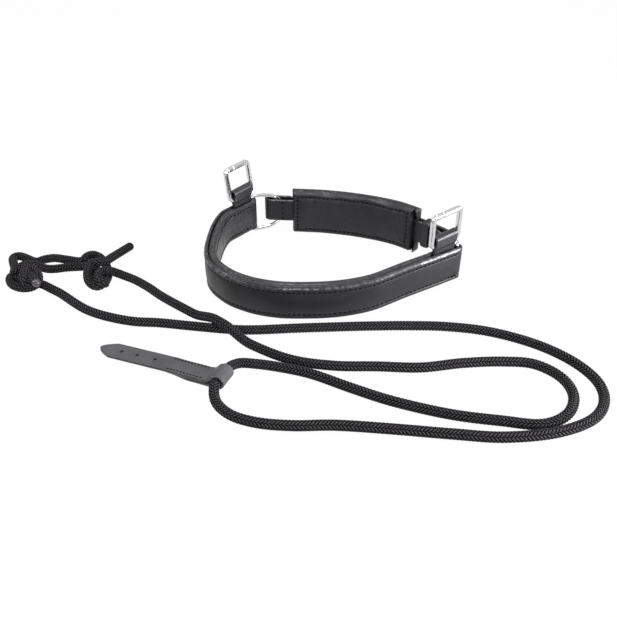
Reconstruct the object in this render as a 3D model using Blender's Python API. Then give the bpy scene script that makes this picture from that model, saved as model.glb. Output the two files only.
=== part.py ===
"""Noseband of a bridle, standing on its lower edge, with its braided rope and leather tab beside it.

A padded nose strap turns round a D ring at each end.  Near each end a folded leather chape carries
a square loop with a roller.  A chin strap turns through both rings, runs inside a padded chin
sleeve and closes with a buckle on the sleeve's outer side.  The rope lies on the surface in front,
with a stopper knot, a loop knot and a holed leather tab.

Metres, +Z up.  Plan points are seen from above, with X to the right and Y away from the viewer.
"""
import math

import bmesh
import bpy
from mathutils import Matrix, Vector

# Clearance between pieces that touch
GAP = 0.0003

# Distances between the points of swept runs, and the shortest stretch that is kept
NOSE_STEP = 0.0085
CHIN_STEP = 0.0045
ROPE_FINE_STEP = 0.002
SHORTEST = 0.001
CHIN_SHORTEST = 0.0004
MIN_ROLL = 0.0004

# Middle of the noseband's plan, which main() puts over the origin
MIDDLE = Vector((-0.0012, 0.0000))

# Nose strap: outer leather, and the line that runs half way through the padded band
STRAP_WIDTH = 0.036
STRAP_THICK = 0.0033
STRAP_EDGE_ROUND = 0.0011
LEFT_END = Vector((-0.0878, 0.0782))
LEFT_HEADING = math.radians(51)
RIGHT_END = Vector((0.1226, -0.0262))
RIGHT_HEADING = math.radians(33)
END_STRAIGHT = 0.040
FOLD_RETURN = 0.004
NOSE_CURVE = [(-0.1217, 0.0060), (-0.1192, -0.0390), (-0.1007, -0.0660), (-0.0772, -0.0815),
              (-0.0507, -0.0892), (-0.0194, -0.0900), (0.0058, -0.0870), (0.0330, -0.0782),
              (0.0598, -0.0640)]
LIFT_RUN = 0.070

# D rings
RING_WIRE = 0.0040
RING_DEPTH = 0.0350
RING_CORNER = 0.0030
RING_SQUARENESS = 2.8
LEFT_RING_TURN = math.radians(18)
RIGHT_RING_TURN = math.radians(98)

# Lining of the nose strap
LINING_THICK = 0.0016
LINING_ROLL = 0.0030
FILLER_ROUND = 0.0014

# Chapes and square roller loops
CHAPE_WIDTH = 0.0256
CHAPE_LEATHER = 0.0020
CHAPE_DEPTH = 0.024
CHAPE_NECK = 0.0045
CHAPE_RISE = 0.0200
LEFT_CHAPE_BACK = 0.0
RIGHT_CHAPE_BACK = 0.003
LOOP_PITCH = 0.0330
LOOP_HEIGHT = 0.0330
LOOP_BAR = 0.0045
LOOP_CORNER = 0.0025
LOOP_SQUARENESS = 0.28
LOOP_PIN = 0.0042
ROLLER_PIN = 0.0036
LOOP_SEAT = 0.0093
LEFT_LOOP_TILT = math.radians(2)
LEFT_LOOP_LEAN = math.radians(6.5)
RIGHT_LOOP_TILT = math.radians(5.5)
RIGHT_LOOP_LEAN = math.radians(4.5)
ROLLER_WALL = 0.0007
ROLLER_SLIT = 0.0006

# Chin strap
CHIN_WIDTH = 0.025
CHIN_THICK = 0.0030
CHIN_BOTTOM = 0.0115
CHIN_CURVE = [(-0.0581, 0.0827), (-0.0362, 0.0810), (-0.0042, 0.0775), (0.0358, 0.0670),
              (0.0708, 0.0510), (0.0938, 0.0320), (0.1058, 0.0190), (0.1123, 0.0048)]
CHIN_START_HEADING = math.radians(-4)
CHIN_FINISH_HEADING = math.radians(-68)
CHIN_EDGE_ROUND = 0.0007
CHIN_LOOP_GAP = 0.0080
LEFT_LOOP_REACH = 0.0085
RIGHT_LOOP_REACH = 0.0035
LEFT_RETURN = 0.036
LEFT_LOOP_ENDS = 0.010
LEFT_LOOP_SHUT = 0.022
HOLE_SIZE = 0.0045
HOLE_PLACES = (0.073, 0.098, 0.112)
TIP_AT = 0.060
TIP_LENGTH = 0.016
TIP_BASE = 0.30
TIP_DROP = 0.0010

# Chin sleeve
PAD_START = 0.017
PAD_LENGTH = 0.141
PAD_HEIGHT = 0.050
PAD_SKIN = 0.0016
PAD_ROLL = 0.0032
PAD_FILL = 0.0053
PAD_BACKING = 0.0012
PAD_COVER = 0.0022
PAD_COVER_ROLL = 0.0026
PAD_BACKING_ROUND = 0.0003

# Chin buckle
BUCKLE_FRONT_AT = 0.150
BUCKLE_PITCH = 0.022
BUCKLE_WIRE = 0.0035
BUCKLE_ROOM = 0.0010
BUCKLE_CORNER = 0.0030
BUCKLE_CHAPE_LEATHER = 0.0018
BUCKLE_CHAPE_LENGTH = 0.016
BUCKLE_CHAPE_ROUND = 0.0004
BUCKLE_CHAPE_TURN = 0.0036
BUCKLE_CHAPE_SHUT = 0.0075
TONGUE_WIRE = 0.0026
TONGUE_OVERHANG = 0.0022
TONGUE_SLOT = 0.0044
TONGUE_SLOT_ROOM = 0.0006
TONGUE_SLOT_DEPTH = 0.0080
BILLET_SLOT = (0.0035, 0.0165)
BILLET_LIFT = 0.0002
BILLET_CLIMB = (0.026, 0.018)
BILLET_CREST = (0.003, 0.002)
BILLET_FRONT = 0.0028
KEEPER_WIDTH = 0.009
KEEPER_THICK = 0.0018
KEEPER_ROUND = 0.0014
KEEPER_INNER_ROUND = 0.0004
KEEPER_LEAD = (0.008, 0.006)
KEEPER_SLACK = 0.0004
RIGHT_KEEPER_AT = 0.173
LEFT_KEEPER_AT = 0.087

# Rope and tab
ROPE_DIAMETER = 0.008
ROPE_STEP = 0.032
ROPE_TOLERANCE = 0.0008
CROSSING_AT = Vector((-0.1045, -0.1158))
CROSSING_FLAT = 0.010
TAB_FLAT = 0.011
RISE_RUN = 0.018
KNOT_PLY = 0.0070
KNOT_REACH = 0.0115
KNOT_CORE = 0.0050
KNOT_RISE = 0.0052
STOPPER_KNOT_AT = Vector((-0.3085, -0.0290))
STOPPER_KNOT_TURN = math.radians(60.5)
LOOP_KNOT_AT = Vector((-0.2400, -0.0230))
LOOP_KNOT_TURN = math.radians(0)
TAB_FOLD_AT = Vector((-0.0965, -0.1870))
TAB_HEADING = math.radians(157.5)
TAB_WIDTH = 0.019
TAB_LEATHER = 0.0026
TAB_LENGTH = 0.121
TAB_RETURN = 0.050
TAB_POINT = 0.013
TAB_TIP = 0.16
TAB_STEP = 0.009
TAB_STEP_RUN = 0.008
TAB_BULGE = 0.0012
TAB_HOLE = 0.0036
TAB_HOLE_PLACES = (0.099, 0.083, 0.065)

LONG_RUN = [(-0.2908, -0.0394), (-0.2680, -0.0570), (-0.2310, -0.0880), (-0.1900, -0.1040),
            (-0.1610, -0.1070), (-0.1310, -0.1120), (-0.0840, -0.1180), (-0.0300, -0.1150),
            (0.0330, -0.1120), (0.0710, -0.1115), (0.1030, -0.1130), (0.1410, -0.1210),
            (0.1810, -0.1420), (0.2060, -0.1680), (0.2160, -0.1930), (0.2130, -0.2150),
            (0.1990, -0.2340), (0.1680, -0.2490), (0.1240, -0.2550), (0.0850, -0.2515),
            (0.0390, -0.2460), (-0.0050, -0.2420), (-0.0370, -0.2425), (-0.0650, -0.2390),
            (-0.0860, -0.2300), (-0.0985, -0.2150)]
RETURN_RUN = [(-0.0830, -0.1665), (-0.0700, -0.1670), (-0.0470, -0.1720),
              (-0.0230, -0.1800), (0.0120, -0.1990), (0.0420, -0.2140), (0.0880, -0.2300),
              (0.1250, -0.2370), (0.1580, -0.2410), (0.1800, -0.2290), (0.1905, -0.2070),
              (0.1870, -0.1850), (0.1690, -0.1675), (0.1430, -0.1640), (0.1080, -0.1660),
              (0.0720, -0.1720), (0.0340, -0.1705), (-0.0030, -0.1695), (-0.0400, -0.1610),
              (-0.0830, -0.1340), (-0.1240, -0.0990), (-0.1680, -0.0620), (-0.1920, -0.0400),
              (-0.2080, -0.0285), (-0.2202, -0.0219)]
LOOP_RUN = [(-0.2532, -0.0072), (-0.2640, 0.0020), (-0.2770, 0.0120), (-0.2930, 0.0175),
            (-0.3050, 0.0140), (-0.3160, 0.0065), (-0.3280, 0.0100), (-0.3370, 0.0040),
            (-0.3345, -0.0100), (-0.32265, -0.0238)]
LOWER_LOOP_RUN = [(-0.2968, -0.0182), (-0.2860, -0.0155), (-0.2740, -0.0145), (-0.2602, -0.0146)]
TAIL_RUN = [(-0.2406, -0.0086), (-0.2335, 0.0080), (-0.2260, 0.0220), (-0.2170, 0.0360)]

# Sizes that follow from the ones above
BAND_HALF = STRAP_THICK + GAP + RING_WIRE / 2
END_LIFT = RING_WIRE + GAP
FOLD_RADIUS = RING_WIRE / 2 + GAP + STRAP_THICK / 2
RING_HEIGHT = STRAP_WIDTH + 2 * GAP + RING_WIRE
RING_MIDDLE = RING_WIRE / 2 + RING_HEIGHT / 2
STRAP_TOP = END_LIFT + STRAP_WIDTH
CHAPE_CENTRE = RING_WIRE / 2 + GAP + CHAPE_WIDTH / 2
CHAPE_APEX = CHAPE_RISE - LOOP_PIN / 2 - GAP - CHAPE_LEATHER
CHIN_MIDDLE = CHIN_BOTTOM + CHIN_WIDTH / 2
CHIN_LOOP_RADIUS = (CHIN_LOOP_GAP + CHIN_THICK) / 2
COVER_FACE = CHIN_THICK / 2 + GAP + PAD_COVER
BILLET_FLAT = COVER_FACE + GAP + CHIN_THICK / 2
BUCKLE_OUT = BILLET_FLAT + CHIN_THICK / 2 + GAP + BUCKLE_WIRE / 2
BUCKLE_HEEL_AT = BUCKLE_FRONT_AT - BUCKLE_PITCH
TONGUE_WRAP = BUCKLE_WIRE / 2 + GAP + TONGUE_WIRE / 2
BILLET_OVER_HEEL = BUCKLE_OUT + TONGUE_WRAP + TONGUE_WIRE / 2 + GAP + CHIN_THICK / 2 + BILLET_LIFT
CHAPE_BASE = COVER_FACE + GAP + BUCKLE_CHAPE_LEATHER / 2
CHAPE_UPPER = CHAPE_BASE + BUCKLE_CHAPE_LEATHER + GAP
BILLET_OVER_CHAPE = CHAPE_UPPER + BUCKLE_CHAPE_LEATHER / 2 + GAP + CHIN_THICK / 2
BILLET_IN_KEEPER = COVER_FACE + GAP + KEEPER_THICK + GAP + CHIN_THICK / 2
ROPE_RADIUS = ROPE_DIAMETER / 2
TAB_ROPE_HEIGHT = TAB_LEATHER + GAP + ROPE_RADIUS
TAB_WRAP = ROPE_RADIUS + GAP + TAB_LEATHER / 2

LEATHER = ((0.035, 0.034, 0.036), 0.42, 0.0)
LINING = ((0.045, 0.043, 0.047), 0.50, 0.0)
FOAM = ((0.30, 0.29, 0.27), 0.90, 0.0)
METAL = ((0.80, 0.80, 0.79), 0.12, 1.0)
ROPE = ((0.020, 0.020, 0.021), 0.85, 0.0)


def clear_scene():
    """Remove every object that is in the scene."""
    for obj in list(bpy.data.objects):
        bpy.data.objects.remove(obj, do_unlink=True)


def finish_material(obj, finish):
    """Give an object its own material."""
    colour, roughness, metallic = finish
    material = bpy.data.materials.new(obj.name)
    material.use_nodes = True
    shader = material.node_tree.nodes["Principled BSDF"]
    shader.inputs["Base Color"].default_value = (*colour, 1.0)
    shader.inputs["Roughness"].default_value = roughness
    shader.inputs["Metallic"].default_value = metallic
    obj.data.materials.append(material)


def new_object(name, mesh_or_curve, finish):
    """Link a mesh or curve as a named object with its finish."""
    obj = bpy.data.objects.new(name, mesh_or_curve)
    bpy.context.scene.collection.objects.link(obj)
    if finish is not None:
        finish_material(obj, finish)
    return obj


def mesh_object(name, bm, finish):
    """Turn a bmesh into an object whose faces point out."""
    bmesh.ops.recalc_face_normals(bm, faces=bm.faces)
    mesh = bpy.data.meshes.new(name)
    bm.to_mesh(mesh)
    bm.free()
    mesh.shade_smooth()
    mesh.set_sharp_from_angle(angle=math.radians(35))
    return new_object(name, mesh, finish)


def move_origin(obj, place):
    """Put a mesh object's origin on its joint axis and leave its shape where it is."""
    place = Vector(place)
    obj.data.transform(Matrix.Translation(-place))
    obj.location = place


def cut(obj, cutter, operation="DIFFERENCE"):
    """Cut an object with another, or join them, and hide the tool."""
    cutter.hide_render = True
    cutter.display_type = "WIRE"
    modifier = obj.modifiers.new(cutter.name, "BOOLEAN")
    modifier.operation = operation
    modifier.object = cutter
    modifier.solver = "EXACT"


def heading(angle):
    """Unit plan vector at an angle from +X."""
    return Vector((math.cos(angle), math.sin(angle)))


def right_of(direction):
    """Plan vector a quarter turn to the right of a direction."""
    return Vector((direction.y, -direction.x))


def lift(point, height=0.0):
    """Plan point as a point in space."""
    return Vector((point[0], point[1], height))


def smooth(points, step):
    """Even points on a centripetal Catmull-Rom curve; the first and last points only steer it."""
    dense = []
    for k in range(1, len(points) - 2):
        p0, p1, p2, p3 = points[k - 1:k + 3]
        t1 = (p1 - p0).length ** 0.5
        t2 = t1 + (p2 - p1).length ** 0.5
        t3 = t2 + (p3 - p2).length ** 0.5
        for i in range(16):
            t = t1 + (t2 - t1) * i / 16
            a1 = p0.lerp(p1, t / t1)
            a2 = p1.lerp(p2, (t - t1) / (t2 - t1))
            a3 = p2.lerp(p3, (t - t2) / (t3 - t2))
            b1 = a1.lerp(a2, t / t2)
            b2 = a2.lerp(a3, (t - t1) / (t3 - t1))
            dense.append(b1.lerp(b2, (t - t1) / (t2 - t1)))
    dense.append(points[-2].copy())
    return even(dense, step)


def even(points, step):
    """The same run with its points an even step apart."""
    total = run_length(points)
    count = max(2, round(total / step))
    return [along(points, total * i / count) for i in range(count + 1)]


def run_length(points):
    """Length of a run of points."""
    return sum((b - a).length for a, b in zip(points, points[1:]))


def distances(points):
    """How far along a run each of its points is."""
    marks = [0.0]
    for a, b in zip(points, points[1:]):
        marks.append(marks[-1] + (b - a).length)
    return marks


def along(points, distance):
    """Point at a distance along a run."""
    for a, b in zip(points, points[1:]):
        span = (b - a).length
        if distance <= span:
            return a.lerp(b, distance / span)
        distance -= span
    return points[-1].copy()


def tangents(points):
    """Plan direction at each point of a run."""
    result = []
    for k in range(len(points)):
        step = points[min(k + 1, len(points) - 1)] - points[max(k - 1, 0)]
        result.append(Vector((step.x, step.y)).normalized())
    return result


def offset(points, distance):
    """A run moved sideways, to the right of its own direction."""
    return [p + lift(right_of(t) * distance) for p, t in zip(points, tangents(points))]


def half_turn(centre, first, through, height, steps=8):
    """Points of a half turn from centre+first by way of centre+through."""
    return [lift(centre + first * math.cos(a) + through * math.sin(a), height)
            for a in (math.pi * i / steps for i in range(steps + 1))]


def eased(value):
    """Smooth step from 0 to 1."""
    value = min(max(value, 0.0), 1.0)
    return value * value * (3 - 2 * value)


def rounded_box(left, right, low, high, radius, steps=1):
    """Closed outline of a rectangle with rounded corners, as (across, height) pairs."""
    corners = [(left + radius, low + radius, 180), (right - radius, low + radius, 270),
               (right - radius, high - radius, 0), (left + radius, high - radius, 90)]
    outline = []
    for x, z, start in corners:
        for i in range(steps + 1):
            angle = math.radians(start + 90 * i / steps)
            outline.append((x + radius * math.cos(angle), z + radius * math.sin(angle)))
    return outline


def channel(open_side, back, low, high, wall, roll, top_side=None, steps=3):
    """Outline of a channel with rolled corners at its back and its mouth at open_side."""
    top_side = open_side if top_side is None else top_side
    inward = 1 if open_side > back else -1
    outline = [(open_side, low)]
    for i in range(steps + 1):
        angle = math.pi / 2 * i / steps
        outline.append((back + inward * roll * (1 - math.sin(angle)), low + roll * (1 - math.cos(angle))))
    for i in range(steps + 1):
        angle = math.pi / 2 * i / steps
        outline.append((back + inward * roll * (1 - math.cos(angle)), high - roll * (1 - math.sin(angle))))
    inner = max(roll - wall, MIN_ROLL)
    outline += [(top_side, high), (top_side, high - wall)]
    outline += [(back + inward * (wall + inner), high - wall), (back + inward * wall, high - wall - inner)]
    outline += [(back + inward * wall, low + wall + inner), (back + inward * (wall + inner), low + wall)]
    outline.append((open_side, low + wall))
    return outline


def sweep(name, run, section, finish):
    """Leather swept along a plan run; section is an outline, or a function of the point's index."""
    bm = bmesh.new()
    rings = []
    for k, (point, direction) in enumerate(zip(run, tangents(run))):
        side = right_of(direction)
        outline = section(k) if callable(section) else section
        rings.append([bm.verts.new((point.x + side.x * a, point.y + side.y * a, point.z + z))
                      for a, z in outline])
    for first, second in zip(rings, rings[1:]):
        for i in range(len(first)):
            j = (i + 1) % len(first)
            bm.faces.new((first[i], first[j], second[j], second[i]))
    bm.faces.new(list(reversed(rings[0])))
    bm.faces.new(rings[-1])
    bm.normal_update()
    bmesh.ops.triangulate(bm, faces=[f for f in bm.faces if len(f.verts) > 4])
    return mesh_object(name, bm, finish)


def prism(name, outline, origin, across, up, depth_axis, near, far, finish=None, slope=0.0, slope_from=-1.0):
    """Extrude a flat outline between two depths; what lies above slope_from rises with the depth."""
    bm = bmesh.new()
    rings = [[bm.verts.new(origin + across * a + up * (b + (slope * d if b > slope_from else 0.0))
                           + depth_axis * d) for a, b in outline] for d in (near, far)]
    for i in range(len(outline)):
        j = (i + 1) % len(outline)
        bm.faces.new((rings[0][i], rings[0][j], rings[1][j], rings[1][i]))
    bm.faces.new(list(reversed(rings[0])))
    bm.faces.new(rings[1])
    return mesh_object(name, bm, finish)


def disc(radius, steps=16, turn=0.0):
    """Outline of a circle."""
    angles = [turn + 2 * math.pi * i / steps for i in range(steps)]
    return [(radius * math.cos(a), radius * math.sin(a)) for a in angles]


def tube(name, points, diameter, finish, closed=False, resolution=2):
    """Round wire or cord along points."""
    curve = bpy.data.curves.new(name, "CURVE")
    curve.dimensions = "3D"
    curve.bevel_depth = diameter / 2
    curve.bevel_resolution = resolution
    curve.use_fill_caps = True
    spline = curve.splines.new("POLY")
    spline.points.add(len(points) - 1)
    for place, point in zip(spline.points, points):
        place.co = (*point, 1.0)
    spline.use_cyclic_u = closed
    return new_object(name, curve, finish)


class EndFrame:
    """One end of the nose strap: its ring's bar, its directions and how its square loop stands."""

    def __init__(self, name, bar, angle, path_leaves, chape_back, tilt, lean):
        self.name = name
        self.bar = bar
        self.along = heading(angle)
        self.out = right_of(-self.along) if path_leaves else right_of(self.along)
        self.chape_centre = CHAPE_CENTRE + chape_back
        self.tilt = tilt
        self.lean = lean

    def place(self, back, out, height):
        """Point a distance back from the ring's bar, out from the middle of the band, and up."""
        return lift(self.bar - self.along * back + self.out * out, height)


LEFT = EndFrame("left", LEFT_END, LEFT_HEADING, True, LEFT_CHAPE_BACK, LEFT_LOOP_TILT, LEFT_LOOP_LEAN)
RIGHT = EndFrame("right", RIGHT_END, RIGHT_HEADING, False, RIGHT_CHAPE_BACK, RIGHT_LOOP_TILT,
                 RIGHT_LOOP_LEAN)


def nose_run():
    """Middle line of the padded band, from the left ring's bar to the right one's."""
    left_start = LEFT.bar - LEFT.along * END_STRAIGHT
    right_start = RIGHT.bar - RIGHT.along * END_STRAIGHT
    steer = [LEFT.bar, left_start] + [Vector(p) for p in NOSE_CURVE] + [right_start, RIGHT.bar]
    curve = smooth([lift(p) for p in steer], NOSE_STEP)
    left = [lift(LEFT.bar.lerp(left_start, i / 4)) for i in range(4)]
    right = [lift(right_start.lerp(RIGHT.bar, i / 4)) for i in range(1, 5)]
    run = left + curve + right
    total = run_length(run)
    walked = 0.0
    for k, point in enumerate(run):
        if k:
            walked += (Vector(point[:2]) - Vector(run[k - 1][:2])).length
        from_end = min(walked, total - walked)
        point.z = END_LIFT * (1 - eased((from_end - END_STRAIGHT) / LIFT_RUN))
    return run


def trimmed(run, at_start, at_finish):
    """A run without its first and last stretches."""
    total = run_length(run)
    low, high = at_start + SHORTEST, total - at_finish - SHORTEST
    inside = [p for p, m in zip(run, distances(run)) if low < m < high]
    return [along(run, at_start)] + inside + [along(run, total - at_finish)]


def build_nose_strap(run):
    """Outer leather: one strip that turns round both rings' bars and comes back inside."""
    radius = FOLD_RADIUS
    start = LEFT.place(FOLD_RETURN, -radius, END_LIFT)
    first_turn = half_turn(LEFT.bar, -LEFT.out * radius, LEFT.along * radius, END_LIFT)
    outer = offset(run, radius)[1:-1]
    last_turn = half_turn(RIGHT.bar, RIGHT.out * radius, RIGHT.along * radius, END_LIFT)
    finish = RIGHT.place(FOLD_RETURN, -radius, END_LIFT)
    path = [start] + first_turn + outer + last_turn + [finish]
    half = STRAP_THICK / 2
    return sweep("nose_strap", path, rounded_box(-half, half, 0, STRAP_WIDTH, STRAP_EDGE_ROUND), LEATHER)


def build_nose_lining(run):
    """Rolled lining and its filler, with pockets for the two chapes."""
    total = run_length(run)
    reach = CHAPE_WIDTH / 2 + GAP
    left_pocket = LEFT.chape_centre + reach
    right_pocket = total - RIGHT.chape_centre - reach
    body = trimmed(run, FOLD_RETURN + GAP, FOLD_RETURN + GAP)
    marks = [FOLD_RETURN + GAP + m for m in distances(body)]
    edges = [left_pocket, left_pocket + GAP, right_pocket - GAP, right_pocket]
    marks = sorted([m for m in marks if all(abs(m - e) > SHORTEST for e in edges)] + edges)
    mouth = RING_WIRE / 2
    pocket_side = -CHAPE_LEATHER - GAP

    def lining_section(k):
        """Channel whose top flange is cut back beside the chapes."""
        beside = marks[k] < left_pocket + GAP / 2 or marks[k] > right_pocket - GAP / 2
        return channel(mouth, -BAND_HALF, 0, STRAP_WIDTH, LINING_THICK, LINING_ROLL,
                       pocket_side if beside else mouth)

    sweep("nose_lining", [along(run, m) for m in marks], lining_section, LINING)
    inset = LINING_THICK + GAP
    filler = trimmed(run, FOLD_RETURN + 2 * GAP, FOLD_RETURN + 2 * GAP)
    foam = sweep("nose_filler", filler,
                 rounded_box(-BAND_HALF + inset, mouth, inset, STRAP_WIDTH - inset, FILLER_ROUND), FOAM)
    outline = [(-reach, pocket_side), (reach, pocket_side), (reach, 2 * mouth), (-reach, 2 * mouth)]
    for end in (LEFT, RIGHT):
        pocket = prism(end.name + "_pocket", outline, end.place(end.chape_centre, 0, 0), lift(end.along),
                       lift(end.out), Vector((0, 0, 1)), STRAP_TOP - CHAPE_DEPTH - GAP, 2 * STRAP_TOP)
        cut(foam, pocket)


def build_ring(end, turn):
    """D ring: a straight bar with round corners into a squarish bow."""
    half = RING_HEIGHT / 2
    corner = RING_CORNER
    outline = []
    for i in range(5):
        angle = math.pi / 2 * i / 4
        outline.append((corner * (1 - math.cos(angle)), half - corner * (1 - math.sin(angle))))
    power = 2 / RING_SQUARENESS
    for i in range(1, 20):
        angle = math.pi / 2 - math.pi * i / 20
        reach = abs(math.cos(angle)) ** power
        rise = math.copysign(abs(math.sin(angle)) ** power, math.sin(angle))
        outline.append((corner + (RING_DEPTH - corner) * reach, half * rise))
    for i in range(5):
        angle = math.pi / 2 * (4 - i) / 4
        outline.append((corner * (1 - math.cos(angle)), -half + corner * (1 - math.sin(angle))))
    direction = heading(turn)
    points = [lift(direction * x, z) for x, z in outline]
    ring = tube(end.name + "_ring", points, RING_WIRE, METAL, closed=True, resolution=3)
    ring.location = lift(end.bar, RING_MIDDLE)
    return ring


def build_chape(end):
    """Folded leather that carries a square loop: a shank between the layers, then an open fold."""
    leather = CHAPE_LEATHER
    inner = LOOP_PIN / 2 + GAP
    outer = inner + leather
    top = STRAP_TOP + CHAPE_APEX
    low = STRAP_TOP + LOOP_SEAT
    arc = [math.pi * i / 8 for i in range(9)]
    outline = [(-leather, STRAP_TOP - CHAPE_DEPTH), (leather, STRAP_TOP - CHAPE_DEPTH),
               (leather, STRAP_TOP + GAP), (leather, STRAP_TOP + CHAPE_NECK), (outer, low)]
    outline += [(outer * math.cos(a), top + outer * math.sin(a)) for a in arc]
    outline += [(-outer, low), (-leather, STRAP_TOP + CHAPE_NECK), (-leather, STRAP_TOP + GAP)]
    slope = math.tan(end.tilt)
    base = end.place(end.chape_centre, 0, 0)
    chape = prism(end.name + "_chape", outline, base, lift(end.out), Vector((0, 0, 1)),
                  lift(end.along), -CHAPE_WIDTH / 2, CHAPE_WIDTH / 2, LEATHER, slope, STRAP_TOP + 2 * GAP)
    slot = [(inner * math.cos(a), top + inner * math.sin(a)) for a in arc]
    slot += [(-inner * math.cos(a), low - inner * math.sin(a)) for a in arc]
    opening = prism(end.name + "_chape_opening", slot, base, lift(end.out), Vector((0, 0, 1)),
                    lift(end.along), -CHAPE_WIDTH, CHAPE_WIDTH, None, slope)
    cut(chape, opening)


def loop_axes(end):
    """Middle of a square loop's lower bar, its direction, the way up and the way out."""
    along_bar = Vector((*(end.along * math.cos(end.tilt)), math.sin(end.tilt)))
    out = lift(end.out)
    up = out.cross(along_bar)
    if up.z < 0:
        up = -up
    leaned = up * math.cos(end.lean) + out * math.sin(end.lean)
    normal = out * math.cos(end.lean) - up * math.sin(end.lean)
    return end.place(end.chape_centre, 0, STRAP_TOP + LOOP_SEAT + GAP), along_bar, leaned, normal


def build_loop(end):
    """Square loop with round corners, whose lower and top bars are round pins, and its roller."""
    middle, along_bar, up, normal = loop_axes(end)
    corner_steps = 3
    half = LOOP_PITCH / 2
    line = rounded_box(-half, half, 0, LOOP_HEIGHT, LOOP_CORNER, corner_steps)
    bm = bmesh.new()
    rings = []
    for k, (a, b) in enumerate(line):
        corner, step = divmod(k, corner_steps + 1)
        squared = step / corner_steps
        if corner % 2 == 0:
            squared = 1 - squared
        pin = LOOP_PIN if b < LOOP_HEIGHT / 2 else ROLLER_PIN
        size = (pin + (LOOP_BAR - pin) * squared) / 2
        turn = math.radians(180 + 90 * (corner + step / corner_steps))
        outward = along_bar * math.cos(turn) + up * math.sin(turn)
        power = 1 - (1 - LOOP_SQUARENESS) * squared
        rings.append([bm.verts.new(middle + along_bar * a + up * b
                                   + outward * size * math.copysign(abs(x) ** power, x)
                                   + normal * size * math.copysign(abs(y) ** power, y))
                      for x, y in disc(1.0, 12, math.radians(15))])
    for k, first in enumerate(rings):
        second = rings[(k + 1) % len(rings)]
        for i in range(len(first)):
            j = (i + 1) % len(first)
            bm.faces.new((first[i], first[j], second[j], second[i]))
    frame = mesh_object(end.name + "_loop", bm, METAL)
    move_origin(frame, middle)
    bore = ROLLER_PIN / 2 + GAP
    outer = bore + ROLLER_WALL
    opening = ROLLER_SLIT / outer
    angles = [opening / 2 + (2 * math.pi - opening) * i / 18 for i in range(19)]
    outline = [(outer * math.cos(a), outer * math.sin(a)) for a in angles]
    outline += [(bore * math.cos(a), bore * math.sin(a)) for a in reversed(angles)]
    reach = LOOP_PITCH / 2 - LOOP_BAR / 2 - GAP
    centre = middle + up * LOOP_HEIGHT
    roller = prism(end.name + "_roller", outline, centre, -up, normal, along_bar, -reach, reach, METAL)
    move_origin(roller, centre)


def chin_run():
    """Middle line of the chin strap's inner run, from the left ring's bow to the right one's."""
    points = [lift(Vector(p)) for p in CHIN_CURVE]
    before = points[0] - lift(heading(CHIN_START_HEADING)) * 0.012
    after = points[-1] + lift(heading(CHIN_FINISH_HEADING)) * 0.012
    return smooth([before] + points + [after], CHIN_STEP)


def side_point(run, distance, out):
    """Point on the outer side of the chin strap's run, out from its middle line."""
    nudge = 0.0005
    total = run_length(run)
    ahead = along(run, min(distance + nudge, total))
    behind = along(run, max(distance - nudge, 0.0))
    direction = Vector(((ahead - behind).x, (ahead - behind).y)).normalized()
    return along(run, distance) - lift(right_of(direction) * out)


def profile(marks, distance):
    """Smooth value between (distance, value) marks in rising order."""
    for (d0, v0), (d1, v1) in zip(marks, marks[1:]):
        if distance <= d1:
            return v0 + (v1 - v0) * eased((distance - d0) / (d1 - d0))
    return marks[-1][1]


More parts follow.
